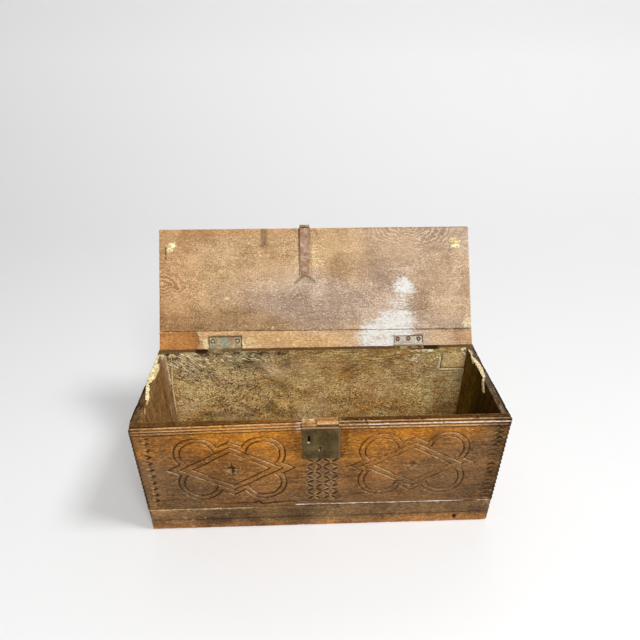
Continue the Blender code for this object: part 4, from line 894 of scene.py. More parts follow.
rebate = np.concatenate([[[recess_y, recess_z - STEP_EDGE], [face_y + 0.0004, recess_z]],
                         np.stack([np.linspace(face_y + 0.0004, rebate_y, turn),
                                   np.full(turn, rebate_z)], 1),
                         np.stack([np.full(len(moulding) - turn - 2, rebate_y),
                                   np.linspace(rebate_z, rim_z, len(moulding) - turn - 2)], 1)])
y[patched, mould] = rebate[:, 0]
z[patched, mould] = rebate[:, 1]
high_rows = z_rows > rebate_z
z[np.ix_(patched, np.flatnonzero(high_rows))] = rebate_z
notched = (places > strap_low.x - 2 * GAP) & (places < strap_high.x + 2 * GAP)
ragged = 0.0030 + 0.0012 * clouds(x * 180, y * 180, 0 * x, 3, 57)
z[notched] = np.minimum(z, rim_z - ragged)[notched]
bites = fade(clouds(x * 120, y * 120, z * 120, 3, 58), 0.55, 0.8) * fade(z, rim_z - 0.02, rim_z - 0.004)
z -= bites * 0.0009 * fade(z, rim_z - 0.004, rim_z - 0.0008)
FRONT_OAK = oak_finish("carved_front_oak", 0, DRY, ((0.125, 0.040, 0.003), (0.70, 0.265, 0.018)),
                       speckle=0.55, streaks=0.54, figure=120.0, wax_rough=0.42, pepper=0.12,
                       crisp=(0.32, 440.0, 0.35))
worn_rings = rings.copy()
tired = np.clip((-0.030 - x) / 0.315, 0, 1)
top_share = fade(z, rim_z - 0.0090, rim_z - 0.0020)
rim_share = np.clip(1 - 0.80 * (y - face_y - TOP_REED_W) / (in_y - face_y - TOP_REED_W), 0.2, 1)
worn_rings[...,
           2] -= (fade(z, 0.232, 0.2545) * (0.0062 * tired + 0.0015 * fade(tired, 0.0, 0.06) * top_share)
                  * rim_share)
front = skin("carved_front", worn_rings, "box", FRONT_OAK)
groove = np.zeros(x.shape)
groove[:, rows] = np.maximum(fade(cut, 0.0003, 0.0012) * (1 - fade(from_crack, 0.0032, 0.0022)),
                             1.15 * cracked)
slope_x = np.gradient(cut, axis=0) / np.gradient(fx, axis=0)
slope_z = np.gradient(cut, axis=1) / np.gradient(fz, axis=1)
# Painted highlight: the walls of the cuts and the star facets that face the light from the upper right are
# painted pale.
worn = np.zeros(x.shape)
from_above = fade(fx, 0.02, 0.10)
toward_light = (0.66 - 0.42 * from_above) * slope_x + (0.75 + 0.20 * from_above) * slope_z
worn[:,
     rows] = (fade(toward_light, 0.34, 0.80) * fade(clouds(fx * 50, fz * 50, 0 * fx, 3, 64), 0.20, 0.50))
worn[:, rows] *= (1 - 0.20 * fade(np.abs(fx), 0.300, 0.312) - 0.80 * (np.abs(fx) < 0.036)
                  * (fz < CHIP_HIGH))
for centre, lit in ((PANEL_LEFT, 0.75), (PANEL_RIGHT, 0.35)):
    worn[:, rows] *= 1 - fade(from_crack, 0.0040, 0.0025)
    on_star = fade(np.hypot(fx - centre[0], fz - centre[1]), 0.021, 0.018)
    worn[:, rows] = np.maximum(worn[:, rows], lit * on_star * fade(toward_light, 0.02, 0.16))
chipped = (fx > CHIP_LEFT) & (fx < CHIP_RIGHT) & (fz > CHIP_LOW) & (fz < CHIP_HIGH)
# Painted highlight on the uncut lips round the chips, mostly above them.
boss = np.zeros(x.shape)
lips = leaf_chips(fx + wander[0] * 1.3, fz + wander[1] * 1.3 - 0.0008, 0.0014) / CHIP_DEPTH
boss[:, rows] = (chipped * fade(cut, 0.0006, 0.0001) * fade(lips, 0.0, 0.12)
                 * fade(clouds(fx * 70, fz * 70, 0 * fx, 3, 68), 0.25, 0.45))
# Painted light: level cuts on the right are painted less dark, since their lower walls face the light from
# above.
level_line = np.abs(slope_z) / (np.abs(slope_x) + np.abs(slope_z) + 1e-6)
groove[:, rows] *= 1 - 0.58 * from_above * fade(level_line, 0.35, 0.65) * fade(fx, 0.305, 0.300)
valley = np.zeros(x.shape)
for groove_z in grooves_z:
    valley = np.maximum(valley, fade(np.hypot(y - face_y - REED_DEPTH, z - groove_z), 0.0018, 0.0004))
valley *= 1 - 0.45 * (x < -0.04) * (z > grooves_z[1] + 0.003)
valley = np.maximum(valley,
                    fade(np.hypot(y - face_y - REED_DEPTH - TOP_REED_W, z - grooves_z[0]),
                         0.0030, 0.0012))
outside = fade(y, in_y - 0.001, in_y - 0.004)
on_rim = (fade(z, rim_z - 0.0022, rim_z - 0.0012) * fade(y, face_y + TOP_REED_W + REED_DEPTH * 1.2,
                                                         face_y + TOP_REED_W + REED_DEPTH * 1.8))
in_notch = (fade(np.abs(x - (strap_low.x + strap_high.x) / 2), 0.0132, 0.0118)
            * fade(z, rim_z - 0.006, rim_z - 0.0035))
golden = (on_rim * fade(x, strap_high.x, strap_high.x + 0.002)
          * fade(x, edge_high.x + 0.001, edge_high.x - 0.001))
# Painted highlight along the crowns of the reeds and the rim's front arris, white on the right half.
crown = np.zeros(x.shape)
crown[:, mould] = 1.0
crown = (crown * fade(np.abs(y - face_y), 0.0007, 0.0001)
         + crown * fade(z, rim_z - 0.0008, rim_z - 0.0001))
chip_area = (fade(np.abs(x - 0.0015), 0.0340, 0.0300) + fade(x, 0.300, 0.306)) * fade(z, 0.258, 0.254)
# Duller and darker towards the bottom of the face: partly the wood's tone, partly painted shade.
fall = fade(z, 0.245, 0.12)
edge_dull = fade(np.abs(x), 0.17, 0.335)
right_dull = fade(x, 0.02, 0.30) * 0.45
dull = np.clip(fall * (0.72 + 0.2 * right_dull) + edge_dull * 0.5 + right_dull * fade(z, 0.25, 0.20), 0,
               0.94)
low_middle = fade(z, 0.115, 0.080) * fade(x, -0.17, -0.11)
dull = (np.clip(dull + 0.30 * chip_area + 0.25 * low_middle, 0, 0.94)
        * (0.75 + 0.4 * clouds(x * 9, z * 12, 0 * x, 3, 61)))
grime = fade(clouds(x * 16, z * 26, 0 * x, 4, 62), 0.50, 0.74)
ragged = 0.004 * (clouds(x * 90, z * 90, 0 * x, 3, 67) - 0.5)
plate_stain = (fade(x + ragged, plate_high.x + 0.0075, plate_high.x + 0.0045)
               * fade(z + ragged, 0.184, 0.189) * fade(z, 0.252, 0.240))
plate_stain = np.maximum(plate_stain,
                         fade(plate_low.x - x + ragged, 0.0028, 0.0014) * fade(z + ragged, 0.204, 0.210)
                         * fade(z, 0.262, 0.252))
plate_stain = plate_stain * (np.abs(x + 0.001) < 0.05)
worn_end = (fade(x, -0.052, -0.043) * (x < plate_low.x - GAP) * fade(z, 0.250, 0.256)
            * fade(y, in_y - 0.003, in_y - 0.006))
notch_line = (fade(np.abs(x - plate_low.x + 0.0006), 0.0016, 0.0006) * fade(z, 0.252, 0.258)
              * fade(z, rim_z - 0.0012, rim_z - 0.0030))
rim_flecks = (on_rim * (x > edge_high.x) * fade(x, edge_high.x + 0.036, edge_high.x + 0.026)
              * fade(clouds(x * 150, y * 110, z, 3, 77), 0.44, 0.56))
rim_flecks = (rim_flecks + on_rim * (x < plate_low.x)
              * fade(x, plate_low.x - 0.0050, plate_low.x - 0.0025))
# Painted shade on the rim top, less dark in places on the left.
rim_soot = 0.80 - (x < -0.04) * (0.10 - 0.10 * fade(x, -0.20, -0.28) + 0.42 * fade(x, -0.14, -0.06))
rim_glow = on_rim * (x < -0.04) * (0.55 * fade(x, -0.14, -0.06) + 0.35 * fade(x, -0.20, -0.28))
front_warm = in_notch * (0.30 + 0.5 * clouds(x * 90, y * 90, z * 90, 3, 69)) + 0.9 * golden + rim_glow
# The soot here holds dirt in the cuts, kept off their lit walls, and painted shadow on the rim top and in a
# line along the foot where the board meets the rail.
front_soot = (0.7 * notch_line + 0.45 * in_notch * (1 - notch_line)
              * fade(np.abs(clouds(x * 100, y * 200, z * 100, 3, 75) - 0.5), 0.04, 0.01)
              + np.clip(rim_soot * on_rim * (1 - in_notch) * (1 - 0.92 * golden)
                        * (0.8 + 0.3 * cloud(x * 60, y * 60, z, 65)), 0, 1) + (1 - on_rim) * outside
              * np.clip(0.84 * groove * (1 - worn) * (1 - 0.25 * chip_area)
                        + 0.92 * valley * (1 - in_notch) + 0.16 * grime * fade(z, 0.2, 0.08)
                        + 0.34 * plate_stain + 0.36 * fade(x, 0.310, 0.325)
                        + 0.62 * fade(z, front_low.z + 0.0022, front_low.z + 0.0010) + 0.10 * low_middle
                        + 0.35 * fade(np.abs(x), 0.335, 0.3445) + 0.45 * fade(-x, 0.3400, 0.3445), 0,
                        0.97))
front_rub = (0.8 * rim_flecks + 0.15 * golden
             + in_notch * (0.15 + 0.75 * fade(clouds(x * 120, y * 160, z * 120, 3, 70), 0.42, 0.62))
             + outside
             * (0.55 * crown * (0.5 + 0.5 * cloud(x * 30, y, z, 63))
                * (1.25 - 0.70 * (x < -0.04) * (z < grooves_z[1])) + 0.70 * worn + 0.40 * boss)
             + 0.45 * low_line)
front_cream = (0.8 * in_notch * fade(clouds(x * 170, y * 170, z * 170, 3, 76), 0.50, 0.62)
               * fade(y, face_y + 0.004, face_y + 0.009))
front_chalk = (0.85 * low_line + 0.16 * rim_flecks + crown ** 2 * (1 - on_rim) * fade(x, 0.02, 0.08)
               * np.where((z < grooves_z[0]) & (z > grooves_z[1]), 0.74,
                          0.06 + 0.30 * fade(x, 0.15, 0.05))
               * (0.75 + 0.25 * clouds(x * 40, y * 90, z * 90, 2, 66)))
note(front, outer=outside, dull=dull * outside, warm=front_warm, soot=front_soot, rub=front_rub,
     grey=0.6 * worn_end, cream=front_cream, chalk=front_chalk)
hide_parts("front_board")

# Repairs: a slip of pale oak let into the worn front arris, and a square of smoother oak in the back.
# Both are glued in and planed level, and their sharp outlines still show. The slip has a painted highlight
# on its front arris and painted shade on its face below.
# Old filler runs along the joint of the inner one.
PALE_BROWNS = ((0.40, 0.17, 0.045), (0.76, 0.42, 0.16))
PALE_OAK = oak_finish("pale_repair_oak", 0, PALE_BROWNS,
                      PALE_BROWNS, speckle=0.4, figure=160.0, wax_rough=0.5)
rings, normals, arris = plank(edge_low, edge_high, 0, (0.0006, 0.0006, 0.0002, 0.0024), 0.0014, 0.0004)
glued_up = fade(rings[..., 1:2], edge_high.y - 0.0040, edge_high.y - 0.0015)
rings = glued_up * rings + (1 - glued_up) * hand_worked(rings, normals, arris, 0.0005, 0.0022, 71)
slip = skin("rim_repair", rings, "box", PALE_OAK)
x, y, z = np.moveaxis(rings, -1, 0)
cracks = fade(np.abs(clouds(x * 120, y * 260, z * 260, 3, 72) - 0.5), 0.035, 0.010)
# Painted highlight along the slip's front top arris; the soot adds painted shade on its face below.
lip = fade(np.hypot(y - edge_low.y - 0.0014, z - edge_high.z + 0.0006), 0.0030, 0.0016)
slip_rub = (0.8 * lip + 0.60 * (1 - lip) * fade(z, edge_high.z - 0.003, edge_high.z)
            * fade(clouds(x * 70, y * 200, z * 60, 3, 74), 0.35, 0.6))
slip_soot = ((1 - lip)
             * np.clip(0.24 * cracks
                       + 0.60 * np.exp(-np.minimum(x - edge_low.x, edge_high.x - x) / 0.0009)
                       + 0.65 * fade(z, edge_high.z - 0.0026, edge_high.z - 0.0038)
                       * fade(y, edge_low.y + 0.003, edge_low.y + 0.001), 0, 1))
note(slip, outer=0.5, rub=slip_rub, warm=0.45 * (1 - lip), soot=slip_soot)
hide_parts("front_edge_patch")
rings, normals, arris = plank(patch_low, patch_high, 0, (0.0004,) * 4, 0.0030, 0.0004)
rings = hand_worked(rings, normals, arris, 0.0002, 0.0004, 73)
SQUARE_OAK = oak_finish("square_repair_oak", 0, ((0.80, 0.54, 0.225), (1.0, 0.84, 0.46)), WAXED,
                        speckle=0.5, streaks=0.4, pepper=0.25, crisp=(0.34, 450.0, 0.7))
square = skin("back_repair", rings, "box", SQUARE_OAK)
x, y, z = np.moveaxis(rings, -1, 0)
note(square, outer=0.0, soot=0.95 * np.exp(-np.minimum(x - patch_low.x, z - patch_low.z) / 0.0024),
     hewn=0.4)
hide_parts("back_patch")

# Pegs: cleft oak pins driven through the boards, their ends cut off level and dark with wax.
# End grain shows as fine rays and pores.
# They are tight in their holes, and nothing else holds the box together.


def dress(finish, names, ease=0.0):
    """Give CAD nodes a finish and, where asked, softly rounded edges."""
    for name in names:
        NODES[name].data.materials.clear()
        NODES[name].data.materials.append(finish)
        if ease:
            rounding = NODES[name].modifiers.new("eased", "BEVEL")
            rounding.width = ease
            rounding.segments = 2
            rounding.limit_method = "ANGLE"
            rounding.angle_limit = math.radians(40)


END_GRAIN, tree, shader = new_finish("peg_end_grain")
place = add(tree, "TexCoord").outputs["Object"]
rays = noise(tree, mapped(tree, (1.0, 0.3, 0.25)), 900.0, 3.0)
flecks = span(tree, noise(tree, place, 1400.0, 2.0), 0.5, 0.68)
colour = tint(tree, span(tree, rays, 0.3, 0.7), (0.10, 0.050, 0.020), (0.27, 0.145, 0.060))
colour = tint(tree, flecks, colour, (0.045, 0.024, 0.011))
tree.links.new(colour, shader.inputs["Base Color"])
tree.links.new(span(tree, rays, 0.3, 0.7, 0.62, 0.48), shader.inputs["Roughness"])
bump = add(tree, "Bump", Height=flecks, Strength=0.3, Distance=-0.0005)
tree.links.new(bump.outputs["Normal"], shader.inputs["Normal"])
dress(END_GRAIN, [name for name in NODES if "peg_" in name], 0.0004)

# Lock: a hand-cut iron plate let in level with the carved face, held by four nails, with its works behind.
# The plate is dark with wax over old rust, and pale brown where hands and the hasp have rubbed it.
# The bolt, guides, spring and cover are plain dark iron.


def iron_finish(name, deep, middle, bright, rough=(0.45, 0.75), metal=0.12, grain=160.0,
                pits=0.35, stains=()):
    """Old iron: three colours by cloudy noise, fine dark pits, patchy shine and a pitted surface.
    Each stain is a colour that fills a ball about a point, or a slab about a plane.
    It is full to one distance and gone at another."""
    made, tree, shader = new_finish(name)
    place = add(tree, "TexCoord").outputs["Object"]
    cloudy = noise(tree, place, grain, 6.0, 0.66)
    patchy = noise(tree, place, grain * 0.28, 4.0, 0.6)
    fine = span(tree, noise(tree, place, grain * 7.0, 3.0, 0.6), 0.50, 0.68)
    colour = tint(tree, span(tree, cloudy, 0.34, 0.66), deep, middle)
    colour = tint(tree, span(tree, patchy, 0.46, 0.70), colour, bright)
    colour = tint(tree, times(tree, fine, pits), colour, tuple(c * 0.35 for c in deep))
    for centre, facing, full, gone, paint in stains:
        away = tree.nodes.new("ShaderNodeVectorMath")
        away.operation = "DOT_PRODUCT" if facing else "DISTANCE"
        plug(tree, away.inputs[0], place)
        away.inputs[1].default_value = facing or centre
        away = away.outputs["Value"]
        if facing:
            away = calc(tree, "ABSOLUTE", less(tree, away, float(np.dot(centre, facing))))
        ragged = plus(tree, away, span(tree, cloudy, 0.35, 0.65, -0.25 * full, 0.25 * full))
        colour = tint(tree, span(tree, ragged, full, gone, 1.0, 0.0), colour, paint)
    tree.links.new(colour, shader.inputs["Base Color"])
    tree.links.new(span(tree, cloudy, 0.3, 0.7, *rough), shader.inputs["Roughness"])
    shader.inputs["Metallic"].default_value = metal
    relief = less(tree, times(tree, cloudy, 0.9), times(tree, fine, 0.4))
    bump = add(tree, "Bump", Height=relief, Strength=0.45, Distance=0.0010)
    tree.links.new(bump.outputs["Normal"], shader.inputs["Normal"])
    shader.inputs["Specular IOR Level"].default_value = 0.1
    return made


def middle_of(name):
    """The middle of a node's box."""
    low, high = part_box(name)
    return tuple((low + high) / 2)


worn_lips = [((-0.0246, face_y, 0.2262), None, 0.0016, 0.0030, (0.62, 0.50, 0.30)),
             ((-0.0036, face_y, 0.2062), None, 0.0014, 0.0026, (0.70, 0.60, 0.42))]
PLATE_IRON = iron_finish("plate_iron", (0.040, 0.026, 0.008), (0.100, 0.066, 0.022),
                         (0.150, 0.102, 0.038), metal=0.0,
                         stains=worn_lips
                         + [((0.0, 0.0, 0.2612), (0.0, 0.0, 1.0), 0.0020, 0.0030, (0.36, 0.22, 0.11)),
                            ((plate_high.x, 0.0, 0.0), (1.0, 0.0, 0.0), 0.0030, 0.0042,
                             (0.17, 0.095, 0.045))])
WORKS_IRON = iron_finish("works_iron", (0.018, 0.013, 0.009), (0.055, 0.038, 0.024),
                         (0.10, 0.072, 0.045))
dress(PLATE_IRON, ["lock_plate"], 0.0003)
dress(PLATE_IRON, [f"lock_plate_nail_{k}" for k in (1, 2, 3, 4)], 0.0003)
dress(WORKS_IRON, ["lock_bolt", "bolt_guide_left", "bolt_guide_right", "bolt_spring", "lock_back_plate",
                   "drill_pin"])

# Lid: a wide oak board and a narrow strip behind it, butted along a line that runs slightly out of true.
# The inside is dry and bleached: grey in the middle, warm in front, a knot at left, a white patch at right.
# The outside is waxed like the front. The strip carries the hinges, let into it from below.
LID_T = 0.016
LID_REACH = 0.2638
LID_UNDER = 0.00015
LID_TAIL = 0.00603
LID_HALF = 0.345
LID_ROUND = 0.002
LID_PITCH = 0.0026
JOINT_MID, JOINT_LEAN = 0.0345, 0.0025
LEAF_REACHES = (0.0235, 0.0190)
LEAF_SEAT = 0.0019
KNUCKLE_SEAT = 0.0039
PALE_LID = (0.85, 0.595, 0.345)
BROWN_LID = (0.34, 0.19, 0.088)
BLOOM_TOP = ((0.070, -0.02), (0.084, 0.020), (0.096, 0.042), (0.112, 0.052), (0.130, 0.062),
             (0.148, 0.072), (0.166, 0.082), (0.200, 0.084), (0.222, 0.074), (0.240, 0.040))
LEAF_OUTLINES = ((-0.2375, -0.1665, 0.0240), (0.17025, 0.23375, 0.0195))
STRAP_SHADOWS = (((-0.030, 0.154), (-0.047, 0.139)), ((-0.018, 0.154), (-0.004, 0.144)))
LID_SPECKS = (((-0.197, 0.107), 0.0055), ((-0.098, 0.041), 0.005), ((-0.2584, 0.0325), 0.006),
              ((0.085, 0.021), 0.006), ((-0.086, 0.014), 0.005), ((-0.150, 0.017), 0.006),
              ((-0.138, 0.012), 0.005), ((0.335, 0.045), 0.016))
LID_SMEARS = ((-0.2450, 0.0075), (-0.1630, 0.0035))
LID_STROKES = (((-0.163, 0.0100), (-0.148, 0.0145)), ((-0.156, 0.0070), (-0.146, 0.0105)),
               ((-0.153, 0.0012), (-0.130, 0.0012)))
lid_hinge = next(joint for joint in frame["joints"] if joint["name"] == "lid_hinge")
AXIS_Y, AXIS_Z = lid_hinge["pos_m"][1:]
OPEN = -math.radians(lid_hinge["range_deg"][1])


def opened(points):
    """Points of the shut lid, measured from the hinge line, turned up to where the open lid rests."""
    turned = points.copy()
    turned[..., 1] = AXIS_Y + points[..., 1] * math.cos(OPEN) - points[..., 2] * math.sin(OPEN)
    turned[..., 2] = AXIS_Z + points[..., 1] * math.sin(OPEN) + points[..., 2] * math.cos(OPEN)
    return turned


def oval(x, s, centre, reach, start=1.2, end=0.3):
    """A soft oval place on the lid, which fades in between two shares of its reach."""
    return fade(np.hypot((x - centre[0]) / reach[0], (s - centre[1]) / reach[1]), start, end)


def bloom(x, s):
    """The white patch at the right: a low wedge by the joint, a neck above it, and a round patch."""
    wx = x + 0.016 * (clouds(x * 34, s * 34, 0 * x, 4, 81) - 0.5)
    ws = s + 0.020 * (clouds(x * 40, s * 40, 0 * x, 4, 82) - 0.5)
    top = np.interp(wx, *zip(*BLOOM_TOP))
    lower = fade(ws, top + 0.010, top - 0.016) * fade(wx, 0.245, 0.195) * fade(wx, 0.070, 0.112)
    upper = oval(wx + 0.35 * (ws - 0.13), ws, (0.194, 0.129), (0.026, 0.030), 1.2, 0.35)
    neck = 0.70 * oval(wx, ws, (0.186, 0.094), (0.028, 0.020))
    brushed = clouds(x * 30 + s * 60, s * 150 - x * 40, 0 * x, 3, 80)
    return most(lower, upper, neck) * (0.56 + 0.80 * brushed)


def lid_marks(x, s, under, is_strip):
    """Shares of the marks on the lid's inside: a white patch, specks, rubbed, warm, sooty, grey and dull
    places, and painted shadow beside the strap.
    """
    is_wide = 1 - is_strip
    warp = 0.05 * (clouds(x * 9, s * 9, 0 * x, 3, 86) - 0.5)
    streaks = clouds(x * 5, s * 140, 0 * x, 3, 83 + is_strip)
    right_grey = 0.55 + 0.45 * oval(x, s, (0.31, 0.13), (0.10, 0.09), 0.5, 1.3)
    grey = most(0.9 * oval(x + warp, s + warp + 0.10 * x, (0.02, 0.105), (0.24, 0.075), 1.15, 0.35),
                0.85 * fade(x + warp, 0.03, 0.16) * right_grey,
                0.75 * fade(x, 0.225, 0.245) * fade(x, 0.340, 0.310) * is_strip)
    smear = 0.42 * fade(to_line(x, s, (0.089, 0.139), (0.127, 0.134)), 0.003, 0.0005)
    halo = most(oval(x, s, (-0.0035, 0.203), (0.010, 0.032)) * (x > -0.012),
                0.55 * oval(x, s, (-0.041, 0.175), (0.008, 0.032)) * (x < -0.036))
    front_band = fade(s, 0.240, 0.247) * fade(x, 0.04, -0.10) * (0.6 + 0.4 * fade(streaks, 0.3, 0.6))
    warm = most(0.85 * fade(x, -0.257, -0.265) * fade(s, 0.039, 0.033),
                0.58 * front_band,
                0.28 * fade(x, -0.20, -0.335),
                (0.12 + 0.45 * fade(x, 0.290, 0.335)) * fade(x, 0.235, 0.260) * is_strip)
    from_seam = np.abs(x + 0.2600 + 0.1 * (s - 0.02))
    from_ring = np.abs(np.hypot(x + 0.004, s - 0.250) - 0.0085)
    from_joint = np.abs(s - JOINT_MID + JOINT_LEAN * x / LID_HALF)
    from_leaves = [most(left - x, x - right, s - reach) for left, right, reach in LEAF_OUTLINES]
    along_strap = fade(s, 0.150, 0.160)
    # The soot also paints the strap's shadows on the lid and dark shadow lines along both its edges.
    soot = most(0.42 * fade(np.abs(x + 0.114), 0.0085, 0.0055) * fade(s, 0.216, 0.228),
                0.50 * fade(from_seam, 0.0030, 0.0010) * fade(s, 0.004, 0.010) * is_strip,
                0.38 * fade(s, 0.2605, 0.2630) * fade(x, 0.05, 0.12),
                0.30 * fade(from_ring, 0.0028, 0.0008),
                *(0.50 * fade(to_line(x, s, *ends), 0.0046, 0.001) for ends in STRAP_SHADOWS),
                0.80 * fade(to_line(x, s, (-0.3305, 0.222), (-0.3315, 0.196)), 0.0022, 0.0008),
                0.70 * fade(np.abs(x + 0.0358), 0.0022, 0.0006) * along_strap,
                0.30 * fade(np.abs(x + 0.0108), 0.0026, 0.0008) * along_strap,
                *(0.75 * fade(np.abs(away - 0.0004), 0.0024, 0.0006) * is_strip for away in from_leaves),
                0.42 * fade(from_joint, 0.003, 0.0005) * fade(x, 0.02, 0.10),
                0.14 * fade(np.abs(s - 0.2405), 0.0024, 0.0006) * fade(x, -0.03, -0.06))
    low_dark = oval(x + warp, s + 0.06 * x, (-0.13, 0.052), (0.22, 0.048))
    lower_edge = fade(s, 0.085, 0.036) * fade(x, -0.02, -0.12)
    dull = most(0.42 * most(low_dark, lower_edge) * is_wide + 0.10 * fade(streaks, 0.55, 0.8),
                0.30 * fade(x, -0.28, -0.345) * fade(s, 0.15, 0.09) * is_wide)
    sprinkle = (fade(cloud(x * 260, s * 260, 0 * x, 87), 0.80, 0.92)
                * fade(clouds(x * 16, s * 16, 0 * x, 2, 88), 0.45, 0.65))
    slanted = x + 0.3 * (s - 0.01)
    cream = most(0.55 * sprinkle * fade(x, 0.10, -0.20),
                 0.62 * halo,
                 *(0.95 * oval(x, s, at, (size, size), 1.0, 0.4) for at, size in LID_SPECKS),
                 *(0.95 * fade(np.abs(slanted - at) / half, 1.0, 0.5) * fade(s, 0.022, 0.016)
                   for at, half in LID_SMEARS),
                 *(0.95 * fade(to_line(x, s, *ends), 0.0024, 0.0008) for ends in LID_STROKES))
    rub = most(0.35 * fade(x, 0.02, 0.10) * fade(streaks, 0.4, 0.7) * (1 - grey)
               + 0.4 * fade(s, 0.258, 0.2635),
               0.55 * oval(x + warp, s, (0.13, 0.222), (0.17, 0.055), 1.2, 0.2),
               0.45 * fade(x, 0.235, 0.260) * is_strip,
               0.34 * fade(s, 0.240, 0.246) * fade(x, 0.04, -0.05),
               0.30 * oval(x + warp, s, (-0.14, 0.17), (0.14, 0.07), 1.2, 0.2))
    shares = {"chalk": most(0.94 * bloom(x, s), smear), "warm": warm, "soot": soot, "dull": dull,
              "rub": rub, "grey": grey,
              "cream": cream * (0.55 + 0.45 * fade(cloud(x * 300, s * 300, 0 * x, 89), 0.3, 0.6)),
              "hewn": 0.06 + 0.26 * fade(s, 0.13, 0.18) * fade(x, -0.02, 0.08)}
    return {mark: share * under for mark, share in shares.items()}


LID_KNOTS = ((-0.337, 0.143, 2.1, 0.032, 0.0034), (0.206, 0.262, 2.0, 0.066, 0.0032))
LID_OAK = oak_finish("lid_oak", 0, (BROWN_LID, PALE_LID), WAXED, speckle=0.60, streaks=0.30,
                     pepper=0.20, crisp=(0.27, 450.0, 0.8), knots=LID_KNOTS, plain_out=True)
STRIP_OAK = oak_finish("lid_strip_oak", 0, ((0.47, 0.258, 0.108), (0.92, 0.61, 0.315)), WAXED,
                       speckle=0.5, streaks=0.4, pepper=0.10, crisp=(0.24, 450.0, 0.4), plain_out=True)
lid_pieces = (("lid_wide_plank", "lid_board", -LID_REACH, -JOINT_MID - GAP / 2,
               (LID_ROUND, 0.0006, 0.0006, LID_ROUND), 0),
              ("lid_strip_plank", "lid_hinge_strip", -JOINT_MID + GAP / 2, LID_TAIL,
               (0.0006, 0.0008, 0.0008, 0.0006), 1))
lid_leaf_boxes = [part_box(f"{side}_hinge_lid_leaf") for side in ("left", "right")]
for name, node, start, end, eases, is_strip in lid_pieces:
    x_stops = (both_sides(*(edge for a, b in lid_leaf_boxes for edge in (a.x - GAP, b.x + GAP)))
               if is_strip else ())
    y_stops = both_sides(*(-reach - GAP for reach in LEAF_REACHES), -KNUCKLE_SEAT) if is_strip else ()
    rings, normals, arris = plank((-LID_HALF, start, LID_UNDER), (LID_HALF, end, LID_UNDER + LID_T), 0,
                                  eases, LID_PITCH, 0.0012, (x_stops, y_stops, ()))
    rings = hand_worked(rings, normals, arris, 0.0004, 0.0013, 85 + is_strip)
    x, y, h = np.moveaxis(rings, -1, 0)
    middle = (start + end) / 2
    y += JOINT_LEAN * x / LID_HALF * fade(y, middle, end) if not is_strip else 0.0
    y += JOINT_LEAN * x / LID_HALF * fade(y, -KNUCKLE_SEAT - 0.02, start) if is_strip else 0.0
    if is_strip:
        for (a, b), reach in zip(lid_leaf_boxes, LEAF_REACHES):
            over = (x > a.x - GAP) & (x < b.x + GAP)
            seat = np.where(y > -KNUCKLE_SEAT, KNUCKLE_SEAT, LID_UNDER + LEAF_SEAT)
            let_in = over & (y > -reach - GAP)
            h[let_in] = np.maximum(h, seat)[let_in]
    under = fade(h, LID_UNDER + 0.004, LID_UNDER + 0.0022)
    marks = lid_marks(x, -y, under, is_strip)
    edges = 0.4 * np.exp(-arris / 0.0016) * (1 - under) * (not is_strip)
    marks["rub"] = marks["rub"] + edges
    handled = fade(clouds(x * 12, y * 16, h * 12, 4, 84), 0.42, 0.66)
    marks["dull"] = marks["dull"] + (1 - under) * (0.45 + 0.35 * handled)
    marks["soot"] = marks["soot"] + (1 - under) * 0.16 * handled
    board = skin(name, opened(rings), "lid", STRIP_OAK if is_strip else LID_OAK)
    note(board, outer=1 - under, s=-y, **marks)
    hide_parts(node)

# Hinges: two unlike butts. The left is thin brass gone grey-green, the right is iron whitened with age.
# Their screws are iron with cut slots, rusty in the right one, and their pins are wire.
# Each leaf is let in level with the wood.
screws = {side: [n for n in NODES if n.startswith(f"{side}_hinge") and "screw" in n]
          for side in ("left", "right")}
heads = {side: [middle_of(name) for name in names] for side, names in screws.items()}
HEAD_DEPTH = 0.0049


def round_heads(side, full, gone, paint):
    """One stain about each screw of a hinge's lid leaf, at the face of the leaf."""
    return [(tuple(np.array(at) + HEAD_DEPTH * lid_out), None, full, gone, paint) for at in heads[side]
            if at[2] > AXIS_Z]


lid_out = opened(np.array([0.0, 0.0, -1.0])) - opened(np.zeros(3))
leaf_low, leaf_high = lid_leaf_boxes[0]
verdigris = ((leaf_low.x + 0.034, leaf_high.y - 0.008, leaf_high.z - 0.006), None, 0.0002, 0.014,
             (0.25, 0.33, 0.25))
rust_bloom = ((leaf_low.x + 0.048, leaf_high.y - 0.005, leaf_high.z - 0.004), None, 0.0002, 0.012,
              (0.33, 0.19, 0.10))
along_lid = tuple(opened(np.array([0.0, -1.0, 0.0])) - opened(np.zeros(3)))
hinge_line = np.array((0.0, AXIS_Y, AXIS_Z))


def dark_edges(leaf, reach, paint):
    """A dark line along the three let-in edges of a lid leaf."""
    ends = [((edge.x, 0.0, 0.0), (1.0, 0.0, 0.0), 0.0009, 0.0020, paint) for edge in leaf]
    return ends + [(tuple(hinge_line + reach * np.array(along_lid)), along_lid, 0.0009, 0.0020, paint)]


